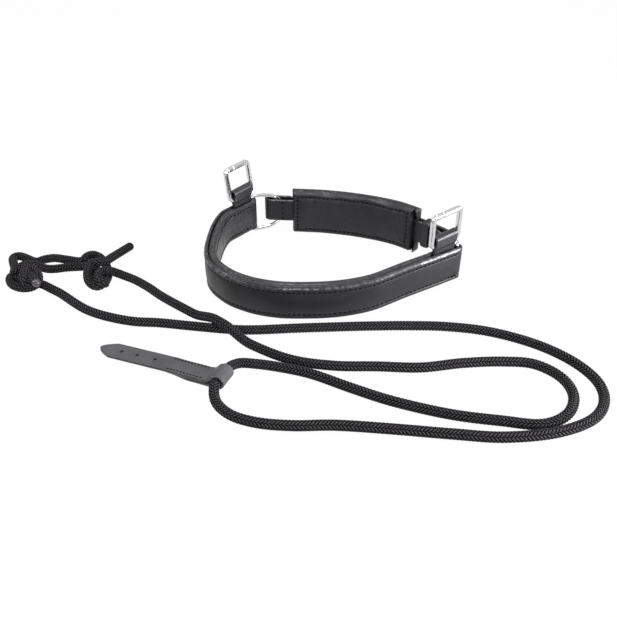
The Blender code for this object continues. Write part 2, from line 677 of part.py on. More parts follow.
def build_chin_strap(run):
    """One strip: sewn return, left loop, inner run, right loop, then back to the buckle and tip."""
    total = run_length(run)
    spread = 2 * CHIN_LOOP_RADIUS
    left_marks = [(0, spread), (LEFT_LOOP_ENDS, spread), (LEFT_LOOP_SHUT, BILLET_FLAT),
                  (LEFT_RETURN, BILLET_FLAT)]
    left_places = [LEFT_RETURN * i / 9 for i in range(10)]
    left_return = [side_point(run, s, profile(left_marks, s)) for s in reversed(left_places)]
    tangent = tangents(run)
    turns = {}
    for name, index, sign, reach in (("left", 0, -1, LEFT_LOOP_REACH), ("right", -1, 1, RIGHT_LOOP_REACH)):
        away = tangent[index] * sign
        out = -right_of(tangent[index]) * CHIN_LOOP_RADIUS
        centre = Vector(run[index][:2]) + out + away * reach
        turns[name] = half_turn(centre, out * -sign, away * CHIN_LOOP_RADIUS, 0.0)
    heel = BUCKLE_HEEL_AT
    lead, trail = KEEPER_LEAD
    climb_start, climb_end = BILLET_CLIMB
    crest_start, crest_end = BILLET_CREST
    right_marks = [(TIP_AT, BILLET_IN_KEEPER - TIP_DROP), (LEFT_KEEPER_AT - lead, BILLET_IN_KEEPER),
                   (LEFT_KEEPER_AT + trail, BILLET_IN_KEEPER), (heel - climb_start, BILLET_OVER_CHAPE),
                   (heel - climb_end, BILLET_OVER_CHAPE), (heel - crest_start, BILLET_OVER_HEEL),
                   (heel + crest_end, BILLET_OVER_HEEL), (BUCKLE_FRONT_AT - BILLET_FRONT, BILLET_FLAT),
                   (PAD_START + PAD_LENGTH, BILLET_FLAT),
                   (RIGHT_KEEPER_AT + trail, BILLET_FLAT + KEEPER_SLACK), (total, spread)]
    steps = 58
    right_places = [TIP_AT + (total - TIP_AT) * i / steps for i in range(steps + 1)]
    right_return = [side_point(run, s, profile(right_marks, s)) for s in reversed(right_places)]
    path = left_return + turns["left"] + run + turns["right"] + right_return
    path = [lift(p, CHIN_BOTTOM) for k, p in enumerate(path)
            if k == 0 or (p - path[k - 1]).length > CHIN_SHORTEST]
    marks = distances(path)
    half = CHIN_THICK / 2

    def section(k):
        """Full width, drawn in to a rounded point over the tip."""
        left_over = marks[-1] - marks[k]
        width = CHIN_WIDTH
        if left_over < TIP_LENGTH:
            width *= TIP_BASE + (1 - TIP_BASE) * math.sqrt(1 - (1 - left_over / TIP_LENGTH) ** 2)
        middle = CHIN_WIDTH / 2
        return rounded_box(-half, half, middle - width / 2, middle + width / 2, CHIN_EDGE_ROUND)

    strap = sweep("chin_strap", path, section, LEATHER)
    for i, place in enumerate(HOLE_PLACES):
        base = side_point(run, place, 0)
        out = (side_point(run, place, 0.01) - base).normalized()
        side = Vector((out.y, -out.x, 0))
        hole = prism(f"chin_hole_{i}", disc(HOLE_SIZE / 2, 12), base + Vector((0, 0, CHIN_MIDDLE)), side,
                     Vector((0, 0, 1)), out, COVER_FACE, BILLET_OVER_HEEL + CHIN_THICK)
        cut(strap, hole)
    base = side_point(run, heel, 0)
    out = (side_point(run, heel, 0.01) - base).normalized()
    side = Vector((out.y, -out.x, 0))
    wide = TONGUE_SLOT / 2
    near, far = BILLET_SLOT
    outline = [(near, -wide), (far, -wide), (far, wide), (near, wide)]
    slot = prism("billet_slot", outline, base + Vector((0, 0, CHIN_MIDDLE)), side, Vector((0, 0, 1)), out,
                 COVER_FACE + PAD_COVER, BILLET_OVER_HEEL + CHIN_THICK)
    cut(strap, slot)
    return strap


def build_chin_sleeve(run):
    """Padded inner panel, its filler and backing, and the outer cover."""
    total = run_length(run)
    body = trimmed(run, PAD_START, total - PAD_START - PAD_LENGTH)
    filler = trimmed(run, PAD_START + GAP, total - PAD_START - PAD_LENGTH + GAP)
    backing = CHIN_THICK / 2 + GAP
    mouth = backing + PAD_BACKING + GAP
    face = mouth + PAD_FILL + GAP + PAD_SKIN
    inset = PAD_SKIN + GAP
    sweep("chin_panel", body, channel(mouth, face, 0, PAD_HEIGHT, PAD_SKIN, PAD_ROLL), LINING)
    sweep("chin_filler", filler,
          rounded_box(mouth, face - inset, inset, PAD_HEIGHT - inset, FILLER_ROUND), FOAM)
    sweep("chin_backing", body,
          rounded_box(backing, backing + PAD_BACKING, GAP, PAD_HEIGHT - GAP, PAD_BACKING_ROUND), LINING)
    lip = backing - GAP
    cover = channel(lip, -COVER_FACE, 0, PAD_HEIGHT, PAD_COVER, PAD_COVER_ROLL)
    sweep("chin_cover", body, cover, LEATHER)


def build_chin_buckle(run):
    """Buckle frame, its folded chape, tongue and the two keepers."""
    middle = Vector((0, 0, CHIN_MIDDLE))
    heel = side_point(run, BUCKLE_HEEL_AT, BUCKLE_OUT) + middle
    front = side_point(run, BUCKLE_FRONT_AT, BUCKLE_OUT) + middle
    ahead = (front - heel).normalized()
    out = Vector((-ahead.y, ahead.x, 0))
    width = CHIN_WIDTH + 2 * BUCKLE_ROOM + BUCKLE_WIRE
    flat = rounded_box(0, (front - heel).length, -width / 2, width / 2, BUCKLE_CORNER, 3)
    frame = tube("chin_buckle", [ahead * a + Vector((0, 0, b)) for a, b in flat], BUCKLE_WIRE, METAL,
                 closed=True)
    frame.location = heel

    wrap = BUCKLE_WIRE / 2 + GAP + BUCKLE_CHAPE_LEATHER / 2
    base = heel - middle
    back = BUCKLE_HEEL_AT - wrap
    path = [side_point(run, back - BUCKLE_CHAPE_LENGTH * i / 3, CHAPE_BASE) for i in (3, 2, 1)]
    path.append(side_point(run, BUCKLE_HEEL_AT - BUCKLE_CHAPE_TURN, CHAPE_BASE))
    path += [base - out * wrap * math.cos(a) + ahead * wrap * math.sin(a)
             for a in (math.pi * i / 10 for i in range(11))]
    path += [side_point(run, BUCKLE_HEEL_AT - BUCKLE_CHAPE_TURN, BUCKLE_OUT + wrap * 0.72),
             side_point(run, BUCKLE_HEEL_AT - BUCKLE_CHAPE_SHUT, CHAPE_UPPER + GAP)]
    path += [side_point(run, back - BUCKLE_CHAPE_LENGTH * i / 3, CHAPE_UPPER) for i in (2, 3)]
    for point in path:
        point.z = CHIN_BOTTOM
    half = BUCKLE_CHAPE_LEATHER / 2
    chape = sweep("chin_buckle_chape", path, rounded_box(-half, half, 0, CHIN_WIDTH, BUCKLE_CHAPE_ROUND),
                  LEATHER)
    wide = TONGUE_SLOT / 2
    reach = TONGUE_WRAP + TONGUE_WIRE / 2 + TONGUE_SLOT_ROOM
    slot = prism("chape_slot", [(-reach, -wide), (reach, -wide), (reach, wide), (-reach, wide)], heel,
                 ahead, Vector((0, 0, 1)), out, -TONGUE_SLOT_DEPTH, TONGUE_SLOT_DEPTH)
    cut(chape, slot)

    tongue_points = [ahead * TONGUE_WRAP * math.cos(a) + out * TONGUE_WRAP * math.sin(a)
                     for a in (math.radians(d) for d in range(350, 89, -26))]
    tip = (front - heel).length + BUCKLE_WIRE / 2 + TONGUE_OVERHANG
    tongue_points.append(ahead * BUCKLE_WIRE + out * TONGUE_WRAP)
    tongue_points += [ahead * tip * 0.6 + out * (TONGUE_WRAP + BILLET_LIFT), ahead * tip + out * TONGUE_WRAP]
    tongue = tube("chin_buckle_tongue", tongue_points, TONGUE_WIRE, METAL)
    tongue.location = heel

    build_keeper(run, "chin_keeper_right", RIGHT_KEEPER_AT, -CHIN_THICK / 2 - GAP,
                 BILLET_FLAT + KEEPER_SLACK + CHIN_THICK / 2 + GAP)
    build_keeper(run, "chin_keeper_left", LEFT_KEEPER_AT, BILLET_IN_KEEPER - CHIN_THICK / 2 - GAP,
                 BILLET_IN_KEEPER + CHIN_THICK / 2 + GAP)


def build_keeper(run, name, place, inner, outer):
    """Leather band round the strap between two depths on its outer side."""
    span = [along(run, place + KEEPER_WIDTH * (i / 2 - 0.5)) for i in range(3)]
    for point in span:
        point.z = 0.0
    low = CHIN_BOTTOM - GAP
    high = CHIN_BOTTOM + CHIN_WIDTH + GAP
    wall = KEEPER_THICK
    outline = rounded_box(-outer - wall, -inner + wall, low - wall, high + wall, KEEPER_ROUND)
    band = sweep(name, span, outline, LEATHER)
    longer = [along(run, place + KEEPER_WIDTH * (i / 2 - 0.5) * 1.3) for i in range(3)]
    hollow = rounded_box(-outer, -inner, low, high, KEEPER_INNER_ROUND)
    inside = sweep(name + "_inside", longer, hollow, None)
    cut(band, inside)


def knot_points(turn):
    """Closed overhand form: three lobes that pass over and under each other."""
    points = []
    for i in range(48):
        t = 2 * math.pi * i / 48
        x = KNOT_CORE * math.sin(t) + KNOT_REACH * math.sin(2 * t)
        y = KNOT_CORE * math.cos(t) - KNOT_REACH * math.cos(2 * t)
        c, s = math.cos(turn), math.sin(turn)
        points.append(Vector((x * c - y * s, x * s + y * c, -KNOT_RISE * math.sin(3 * t))))
    return points


def steered(points, before=None, after=None):
    """Fine points at rope height on a smooth curve through a stretch of the rope's route."""
    route = [lift(Vector(p), ROPE_RADIUS) for p in points]
    before = route[0] * 2 - route[1] if before is None else lift(before, ROPE_RADIUS)
    after = route[-1] * 2 - route[-2] if after is None else lift(after, ROPE_RADIUS)
    return smooth([before] + route + [after], ROPE_FINE_STEP)


def raised(points, centre, flat, amount):
    """The same points lifted near a plan point: level close to it, then easing down."""
    for point in points:
        away = (Vector(point[:2]) - centre).length
        point.z += amount * (1 - eased((away - flat) / RISE_RUN))
    return points


def thinned(points):
    """As few of the points as keep within the rope's tolerance."""
    kept = [points[0]]
    start = 0
    while start < len(points) - 1:
        end = start + 1
        while end + 1 < len(points):
            a, b = points[start], points[end + 1]
            direction = (b - a).normalized()
            off = max(((p - a) - direction * (p - a).dot(direction)).length for p in points[start:end + 1])
            if off > ROPE_TOLERANCE or (b - a).length > ROPE_STEP:
                break
            end += 1
        kept.append(points[end])
        start = end
    return kept


def build_rope():
    """The rope's free stretches and its two knots."""
    across = right_of(heading(TAB_HEADING)) * TAB_WIDTH * 0.6
    enter, leave = TAB_FOLD_AT - across, TAB_FOLD_AT + across
    lift_in_tab = TAB_ROPE_HEIGHT - ROPE_RADIUS
    long_part = raised(steered(LONG_RUN + [enter], after=leave), TAB_FOLD_AT, TAB_FLAT, lift_in_tab)
    back_part = raised(steered([leave] + RETURN_RUN, before=enter), TAB_FOLD_AT, TAB_FLAT, lift_in_tab)
    back_part = raised(back_part, CROSSING_AT, CROSSING_FLAT, ROPE_DIAMETER + GAP)
    tube("rope_line", thinned(long_part) + thinned(back_part), ROPE_DIAMETER, ROPE)
    for name, route in (("rope_loop", LOOP_RUN), ("rope_loop_return", LOWER_LOOP_RUN),
                        ("rope_tail", TAIL_RUN)):
        tube(name, thinned(steered(route)), ROPE_DIAMETER, ROPE)
    for name, place, turn in (("stopper_knot", STOPPER_KNOT_AT, STOPPER_KNOT_TURN),
                              ("loop_knot", LOOP_KNOT_AT, LOOP_KNOT_TURN)):
        knot = tube(name, knot_points(turn), KNOT_PLY, ROPE, closed=True)
        knot.location = lift(place, KNOT_RISE + KNOT_PLY / 2)


def build_tab():
    """Holed leather tab, folded under itself round the rope."""
    toward_tip = lift(heading(TAB_HEADING))
    across = lift(right_of(heading(TAB_HEADING)))
    axis = lift(TAB_FOLD_AT, TAB_ROPE_HEIGHT)
    half = TAB_LEATHER / 2
    low = half - TAB_ROPE_HEIGHT
    high = low + TAB_LEATHER + GAP
    path = [(TAB_RETURN, low), (TAB_RETURN * 0.6, low), (TAB_WRAP * 0.9, low)]
    path += [(TAB_WRAP * math.cos(a), TAB_WRAP * math.sin(a))
             for a in (math.radians(d) for d in range(270, 89, -20))]
    path += [(TAB_WRAP * 0.75, TAB_WRAP * 0.72), (TAB_WRAP * 1.7, high + TAB_BULGE),
             (TAB_WRAP * 2.6, high)]
    step_ends = TAB_RETURN + TAB_STEP
    path += [(TAB_RETURN * 0.8, high), (TAB_RETURN, high), (step_ends, low + TAB_LEATHER * 0.4)]
    path += [(x, low) for x in (step_ends + TAB_STEP_RUN, TAB_LENGTH - TAB_POINT * 1.4)]
    point_steps = 5
    path += [(TAB_LENGTH - TAB_POINT * (1 - i / point_steps), low) for i in range(point_steps + 1)]
    bm = bmesh.new()
    rings = []
    for k, (x, z) in enumerate(path):
        ahead = Vector(path[min(k + 1, len(path) - 1)])
        behind = Vector(path[max(k - 1, 0)])
        direction = (ahead - behind).normalized()
        side = Vector((-direction.y, direction.x))
        width = TAB_WIDTH / 2
        left_over = TAB_LENGTH - x
        if k > len(path) - point_steps - 3 and left_over < TAB_POINT:
            width *= TAB_TIP + (1 - TAB_TIP) * (left_over / TAB_POINT) ** 0.75
        ring = []
        for a, b in ((-width, -half), (width, -half), (width, half), (-width, half)):
            place = toward_tip * (x + side.x * b) + Vector((0, 0, z + side.y * b))
            ring.append(bm.verts.new(place + across * a))
        rings.append(ring)
    for first, second in zip(rings, rings[1:]):
        for i in range(4):
            j = (i + 1) % 4
            bm.faces.new((first[i], first[j], second[j], second[i]))
    bm.faces.new(list(reversed(rings[0])))
    bm.faces.new(rings[-1])
    tab = mesh_object("rope_tab", bm, LEATHER)
    tab.location = axis
    for i, place in enumerate(TAB_HOLE_PLACES):
        hole = prism(f"tab_hole_{i}", disc(TAB_HOLE / 2, 12), axis + toward_tip * place, toward_tip, across,
                     Vector((0, 0, 1)), -0.02, 0.02)
        cut(tab, hole)
    return tab


def main():
    """Build every piece of the noseband and its rope."""
    clear_scene()
    run = nose_run()
    build_nose_strap(run)
    build_nose_lining(run)
    for end, turn in ((LEFT, LEFT_RING_TURN), (RIGHT, RIGHT_RING_TURN)):
        build_ring(end, turn)
        build_chape(end)
        build_loop(end)
    chin = chin_run()
    build_chin_strap(chin)
    build_chin_sleeve(chin)
    build_chin_buckle(chin)
    build_rope()
    build_tab()
    for obj in bpy.context.scene.objects:
        obj.location -= lift(MIDDLE)


main()
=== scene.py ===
"""Looks of a padded leather noseband and its knotted rope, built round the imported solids.

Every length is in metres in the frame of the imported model: +X along the noseband's width, +Y from
its nose strap towards its chin strap, +Z up from the surface that it stands on.
"""

import logging
import math
from dataclasses import dataclass, field
from enum import Enum
from typing import Any, Callable, Iterable, Optional, Sequence

import bmesh
import bpy
from mathutils import Matrix, Vector, noise

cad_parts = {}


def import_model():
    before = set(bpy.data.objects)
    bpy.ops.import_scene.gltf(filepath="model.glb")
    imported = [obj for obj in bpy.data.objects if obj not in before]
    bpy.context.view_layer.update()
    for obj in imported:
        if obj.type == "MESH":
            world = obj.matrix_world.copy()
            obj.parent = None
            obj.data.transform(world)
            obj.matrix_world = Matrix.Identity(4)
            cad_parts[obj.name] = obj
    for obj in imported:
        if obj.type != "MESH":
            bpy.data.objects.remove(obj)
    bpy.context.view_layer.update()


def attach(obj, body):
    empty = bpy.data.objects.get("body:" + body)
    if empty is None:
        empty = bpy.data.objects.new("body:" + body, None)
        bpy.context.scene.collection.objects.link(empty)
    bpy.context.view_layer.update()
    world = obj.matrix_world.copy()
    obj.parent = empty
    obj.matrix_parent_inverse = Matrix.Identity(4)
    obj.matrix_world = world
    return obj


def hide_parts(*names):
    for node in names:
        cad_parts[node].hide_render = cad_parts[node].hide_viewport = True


LOG = logging.getLogger("noseband")
UP = Vector((0.0, 0.0, 1.0))
PLAN_SHIFT = Vector((0.0012, 0.0, 0.0))

Colour = tuple[float, float, float]
Mask = Callable[[float, float], float]
Outline = list[tuple[float, float]]
Socket = bpy.types.NodeSocket
Tree = bpy.types.NodeTree
Material = bpy.types.Material
Object = bpy.types.Object

# Long loop: hidden start, round the stopper knot, back through the loop knot, and the tail
LOOP_ROUTE = (
    (-0.2395, -0.0351, 0.0041), (-0.2425, -0.0246, 0.0041), (-0.2435, -0.0139, 0.0041),
    (-0.2432, -0.0072, 0.0041), (-0.2502, -0.0060, 0.0041), (-0.2572, -0.0072, 0.0041),
    (-0.2743, -0.0090, 0.0041), (-0.2839, -0.0116, 0.0041), (-0.2906, -0.0142, 0.0055),
    (-0.2959, -0.0178, 0.0096), (-0.3017, -0.0194, 0.0134), (-0.3083, -0.0211, 0.0154),
    (-0.3134, -0.0249, 0.0146), (-0.3173, -0.0287, 0.0120), (-0.3210, -0.0267, 0.0086),
    (-0.3248, -0.0146, 0.0062), (-0.3312, -0.0009, 0.0054), (-0.3346, 0.0100, 0.0048),
    (-0.3308, 0.0141, 0.0043), (-0.3225, 0.0104, 0.0043), (-0.3072, 0.0008, 0.0050),
    (-0.3016, 0.0062, 0.0046), (-0.2923, 0.0101, 0.0042), (-0.2788, 0.0072, 0.0041),
    (-0.2594, 0.0009, 0.0060), (-0.2568, 0.0083, 0.0070), (-0.2514, 0.0128, 0.0068),
    (-0.2449, 0.0117, 0.0050), (-0.2377, 0.0031, 0.0041), (-0.2299, -0.0139, 0.0041),
    (-0.2266, -0.0333, 0.0042), (-0.2328, -0.0459, 0.0046), (-0.2396, -0.0441, 0.0068),
    (-0.2442, -0.0358, 0.0098), (-0.2448, -0.0275, 0.0136), (-0.2430, -0.0211, 0.0166),
    (-0.2381, -0.0202, 0.0170), (-0.2321, -0.0144, 0.0140), (-0.2278, 0.0005, 0.0106),
    (-0.2166, 0.0353, 0.0042),
)
# The line where it leaves the loop knot
LINE_KNOT_START = (
    (-0.2315, -0.0294, 0.0048), (-0.2255, -0.0429, 0.0060), (-0.2292, -0.0459, 0.0096),
    (-0.2325, -0.0397, 0.0122), (-0.2307, -0.0325, 0.0136), (-0.2249, -0.0289, 0.0128),
    (-0.2183, -0.0269, 0.0092), (-0.2112, -0.0268, 0.0058), (-0.1992, -0.0322, 0.0042),
    (-0.1809, -0.0478, 0.0041),
)
# The line where it turns round itself as the stopper knot
LINE_KNOT_END = (
    (-0.2769, -0.0498, 0.0041), (-0.2882, -0.0418, 0.0041), (-0.2984, -0.0381, 0.0041),
    (-0.3081, -0.0358, 0.0041), (-0.3168, -0.0321, 0.0046), (-0.3229, -0.0283, 0.0058),
    (-0.3231, -0.0351, 0.0060), (-0.3188, -0.0423, 0.0049), (-0.3121, -0.0463, 0.0043),
    (-0.3045, -0.0483, 0.0043), (-0.2969, -0.0481, 0.0056), (-0.2914, -0.0468, 0.0090),
    (-0.2908, -0.0415, 0.0122), (-0.2937, -0.0359, 0.0148), (-0.2987, -0.0328, 0.0166),
    (-0.3035, -0.0329, 0.0176), (-0.3043, -0.0392, 0.0180), (-0.3023, -0.0477, 0.0170),
    (-0.3003, -0.0527, 0.0144), (-0.2985, -0.0518, 0.0110), (-0.2988, -0.0429, 0.0105),
    (-0.2996, -0.0394, 0.0130), (-0.2932, -0.0494, 0.0160), (-0.2880, -0.0567, 0.0160),
)


class Body(str, Enum):
    """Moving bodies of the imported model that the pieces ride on."""

    ROOT = "root"
    LEFT_RING = "left_ring"
    RIGHT_RING = "right_ring"
    LEFT_LOOP = "left_loop"
    LEFT_ROLLER = "left_roller"
    RIGHT_LOOP = "right_loop"
    RIGHT_ROLLER = "right_roller"
    CHIN = "chin"
    TONGUE = "chin_buckle_tongue"
    TAB = "tab"


class Slot(str, Enum):
    """Material slots of the record."""

    BRIDLE_LEATHER = "bridle_leather"
    LINING_LEATHER = "lining_leather"
    METAL = "metal"
    ROPE = "rope"


def heading(angle: float) -> Vector:
    """Unit vector in the plan, at an angle from +X."""
    return Vector((math.cos(angle), math.sin(angle), 0.0))


def right_of(direction: Vector) -> Vector:
    """Plan vector a quarter turn to the right of a direction."""
    return Vector((direction.y, -direction.x, 0.0))


def at(x: float, y: float, height: float = 0.0) -> Vector:
    """Point given in the plan's own coordinates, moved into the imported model's frame."""
    return Vector((x, y, height)) + PLAN_SHIFT


def eased(value: float) -> float:
    """Smooth step from 0 to 1."""
    value = min(max(value, 0.0), 1.0)
    return value * value * (3.0 - 2.0 * value)


def bump(value: float, centre: float, width: float) -> float:
    """Bell of height 1 at a centre, which reaches almost nothing a width away."""
    return math.exp(-((value - centre) / (0.5 * width)) ** 2)


def spread(low: float, high: float, steps: int) -> list[float]:
    """Even values from low to high in a number of steps."""
    return [low + (high - low) * i / steps for i in range(steps + 1)]


def even(low: float, high: float, step: float) -> list[float]:
    """Even values from low to high, about a step apart."""
    return spread(low, high, round((high - low) / step))


def wear_and_painted_light(inside: float, reach: float, amount: float) -> float:
    """Mask of an edge's wear and painted light: an amount at the edge that fades to nothing at its reach
    inside.
    """
    return amount * eased(1 - inside / reach)


def ripple(amount: float, x: float, y: float = 0.0, z: float = 0.0) -> float:
    """Smooth noise of a given height at a place."""
    return amount * noise.noise(Vector((x, y, z)))


def signed(value: float, power: float) -> float:
    """Power of a value's size with the value's sign."""
    return math.copysign(abs(value) ** power, value)


@dataclass
class Station:
    """One cross-section of a swept piece: where it lies and its outline there."""

    origin: Vector
    side: Vector
    up: Vector
    outline: Outline
    along: float


class Run:
    """A line of even points, with its directions and its distances."""

    def __init__(self, points: Sequence[Vector], step: float) -> None:
        """Spread even points over a polyline.

        Args:
            points: The polyline.
            step: Distance between the run's points.
        """
        marks = [0.0]
        for a, b in zip(points, points[1:]):
            marks.append(marks[-1] + (b - a).length)
        self._raw = list(points)
        self._marks = marks
        self.length = marks[-1]
        self.count = max(2, round(self.length / step))
        self.distances = spread(0.0, self.length, self.count)
        self.points = [self.at(d) for d in self.distances]

    @classmethod
    def drawn(cls, outline: Outline, step: float, closed: bool = False) -> "Run":
        """Run along an outline drawn in the plane."""
        points = [Vector((x, y, 0.0)) for x, y in outline]
        return cls(points + points[:1] if closed else points, step)

    @classmethod
    def through(cls, route: Sequence[Vector], step: float, soften: int = 0) -> "Run":
        """Run on a smooth curve; the route's first and last points only steer it.

        Args:
            route: Points that the curve goes through.
            step: Distance between the run's points.
            soften: How many times each point is drawn to the middle of its neighbours.

        Returns:
            The run.
        """
        dense: list[Vector] = []
        for k in range(1, len(route) - 2):
            p0, p1, p2, p3 = route[k - 1:k + 3]
            t1 = (p1 - p0).length ** 0.5
            t2 = t1 + (p2 - p1).length ** 0.5
            t3 = t2 + (p3 - p2).length ** 0.5
            for i in range(16):
                t = t1 + (t2 - t1) * i / 16
                a1 = p0.lerp(p1, t / t1)
                a2 = p1.lerp(p2, (t - t1) / (t2 - t1))
                a3 = p2.lerp(p3, (t - t2) / (t3 - t2))
                b1 = a1.lerp(a2, t / t2)
                b2 = a2.lerp(a3, (t - t1) / (t3 - t1))
                dense.append(b1.lerp(b2, (t - t1) / (t2 - t1)))
        dense.append(route[-2].copy())
        run = cls(dense, step)
        for _ in range(soften):
            p = run.points
            middle = [(p[i - 1] + p[i] * 2.0 + p[i + 1]) / 4.0 for i in range(1, len(p) - 1)]
            run = cls([p[0]] + middle + [p[-1]], step)
        return run

    def at(self, distance: float) -> Vector:
        """Point on the run.

        Args:
            distance: Distance along it, held between its ends.

        Returns:
            The point.
        """
        distance = min(max(distance, 0.0), self.length)
        low, high = 0, len(self._marks) - 1
        while high - low > 1:
            middle = (low + high) // 2
            if self._marks[middle] <= distance:
                low = middle
            else:
                high = middle
        span = self._marks[high] - self._marks[low]
        share = (distance - self._marks[low]) / span if span else 0.0
        return self._raw[low].lerp(self._raw[high], share)

    def direction(self, distance: float) -> Vector:
        """Direction in space at a distance along the run."""
        reach = 0.0006
        return (self.at(distance + reach) - self.at(distance - reach)).normalized()

    def plan_direction(self, distance: float) -> Vector:
        """Direction in the plan at a distance along the run."""
        step = self.direction(distance)
        return Vector((step.x, step.y, 0.0)).normalized()

    def side(self, distance: float) -> Vector:
        """Plan vector to the right of the run at a distance."""
        return right_of(self.plan_direction(distance))

    def station(self, distance: float, outline: Outline) -> Station:
        """Upright cross-section at a distance along the run."""
        return Station(self.at(distance), self.side(distance), UP, outline, distance)


def half_turn(centre: Vector, first: Vector, through: Vector, steps: int = 16) -> list[Vector]:
    """Points of a half turn from centre + first by way of centre + through."""
    return [centre + first * math.cos(a) + through * math.sin(a) for a in spread(0.0, math.pi, steps)]


def arc(centre: tuple[float, float], radius: float, start: float, finish: float, steps: int) -> Outline:
    """Points of an arc round a centre between two angles in degrees."""
    angles = [math.radians(a) for a in spread(start, finish, steps)]
    return [(centre[0] + radius * math.cos(a), centre[1] + radius * math.sin(a)) for a in angles]


class Solid:
    """Mesh under construction, with a map of its surface and a mask of its edges for edge wear and painted
    light.
    """

    def __init__(self, name: str) -> None:
        """Start an empty solid.

        Args:
            name: The name of its piece.
        """
        self.name = name
        self.bm = bmesh.new()
        self.uv = self.bm.loops.layers.uv.new("surface")
        self.edge = self.bm.verts.layers.float.new("edge")

    def sweep(self, stations: Sequence[Station], closed: bool = False, edge: Optional[Mask] = None) -> None:
        """Join cross-sections that all have the same number of points.

        Args:
            stations: The cross-sections in order.
            closed: Whether the last one meets the first.
            edge: Gives the edge mask, for edge wear and painted light, at a point of the outline.
        """
        rings = []
        for s in stations:
            ring = []
            for a, z in s.outline:
                vert = self.bm.verts.new(s.origin + s.side * a + s.up * z)
                vert[self.edge] = edge(a, z) if edge else 0.0
                ring.append(vert)
            rings.append(ring)
        pairs = list(zip(range(len(rings)), range(1, len(rings))))
        if closed:
            pairs.append((len(rings) - 1, 0))
        for i, j in pairs:
            first, second = rings[i], rings[j]
            u0 = stations[i].along
            u1 = stations[j].along if j else u0 + (stations[0].origin - stations[-1].origin).length
            v = 0.0
            for k in range(len(first)):
                m = (k + 1) % len(first)
                (a0, z0), (a1, z1) = stations[i].outline[k], stations[i].outline[m]
                v1 = v + math.hypot(a1 - a0, z1 - z0)
                face = self.bm.faces.new((first[k], first[m], second[m], second[k]))
                for loop, uv in zip(face.loops, ((u0, v), (u0, v1), (u1, v1), (u1, v))):
                    loop[self.uv].uv = uv
                v = v1
        if not closed:
            self._cap(list(reversed(rings[0])))
            self._cap(rings[-1])

    def _cap(self, ring: list) -> None:
        """Close an open end with a fan round its middle.

        Args:
            ring: The end's vertices in order.
        """
        middle = sum((v.co for v in ring), Vector()) / len(ring)
        centre = self.bm.verts.new(middle)
        centre[self.edge] = max(v[self.edge] for v in ring)
        for k, vert in enumerate(ring):
            after = ring[(k + 1) % len(ring)]
            face = self.bm.faces.new((vert, after, centre))
            for loop in face.loops:
                loop[self.uv].uv = (loop.vert.co.x, loop.vert.co.z)

    def finish(self, material: Material, sharp: float = 50.0) -> Object:
        """Turn the solid into an object at the origin.

        Args:
            material: Its finish.
            sharp: Angle in degrees past which an edge stays sharp.

        Returns:
            The object.
        """
        bmesh.ops.recalc_face_normals(self.bm, faces=self.bm.faces)
        obj = placed(self.bm, self.name, material)
        obj.data.shade_smooth()
        obj.data.set_sharp_from_angle(angle=math.radians(sharp))
        return obj


def linked(name: str, data: bpy.types.ID) -> Object:
    """New object at the origin, put into the scene.

    Args:
        name: Its name.
        data: Its mesh, lamp or camera.

    Returns:
        The object.
    """
    obj = bpy.data.objects.new(name, data)
    bpy.context.scene.collection.objects.link(obj)
    return obj


def placed(bm: bmesh.types.BMesh, name: str, material: Optional[Material] = None) -> Object:
    """Turn a bmesh into an object.

    Args:
        bm: The bmesh, which is freed.
        name: The object's name.
        material: Its finish, if it has one yet.

    Returns:
        The object.
    """
    mesh = bpy.data.meshes.new(name)
    bm.to_mesh(mesh)
    bm.free()
    if material:
        mesh.materials.append(material)
    return linked(name, mesh)


def apply_modifiers(obj: Object) -> None:
    """Replace an object's mesh by its evaluated one and drop its modifiers.

    Args:
        obj: The object.
    """
    bpy.context.view_layer.update()
    graph = bpy.context.evaluated_depsgraph_get()
    mesh = bpy.data.meshes.new_from_object(obj.evaluated_get(graph), preserve_all_data_layers=True,
                                           depsgraph=graph)
    obj.modifiers.clear()
    obj.data = mesh


def punch(obj: Object, matrices: Iterable[Matrix], size: float, depth: float) -> None:
    """Cut round holes through a piece.

    Args:
        obj: The piece.
        matrices: Place of each hole, with its axis along Z.
        size: Diameter of the holes.
        depth: Length of the punch.
    """
    bm = bmesh.new()
    for matrix in matrices:
        bmesh.ops.create_cone(bm, cap_ends=True, segments=20, radius1=size / 2, radius2=size / 2, depth=depth,
                              matrix=matrix)
    cutter = placed(bm, "punch")
    modifier = obj.modifiers.new("holes", "BOOLEAN")
    modifier.operation = "DIFFERENCE"
    modifier.object = cutter
    modifier.solver = "EXACT"
    apply_modifiers(obj)
    bpy.data.objects.remove(cutter, do_unlink=True)


def rounded_outline(left: float, right: float, low: float, high: float, radius: float, corner_steps: int = 4,
                    across_steps: int = 1, rise_steps: int = 6) -> Outline:
    """Closed outline of a rectangle with rounded corners.

    Args:
        left: Its lowest number across.
        right: Its highest number across.
        low: Its lowest height.
        high: Its highest height.
        radius: Radius of its corners.
        corner_steps: Faces round a corner.
        across_steps: Faces along its bottom and its top.
        rise_steps: Faces along its two sides.

    Returns:
        The outline's points.
    """
    corners = (((left + radius, low + radius), 180), ((right - radius, low + radius), 270),
               ((right - radius, high - radius), 0), ((left + radius, high - radius), 90))
    arcs = [arc(centre, radius, start, start + 90, corner_steps) for centre, start in corners]
    outline: Outline = []
    for index, bend in enumerate(arcs):
        (a0, z0), (a1, z1) = bend[-1], arcs[(index + 1) % 4][0]
        steps = rise_steps if index % 2 else across_steps
        outline += bend + list(zip(spread(a0, a1, steps), spread(z0, z1, steps)))[1:-1]
    return outline


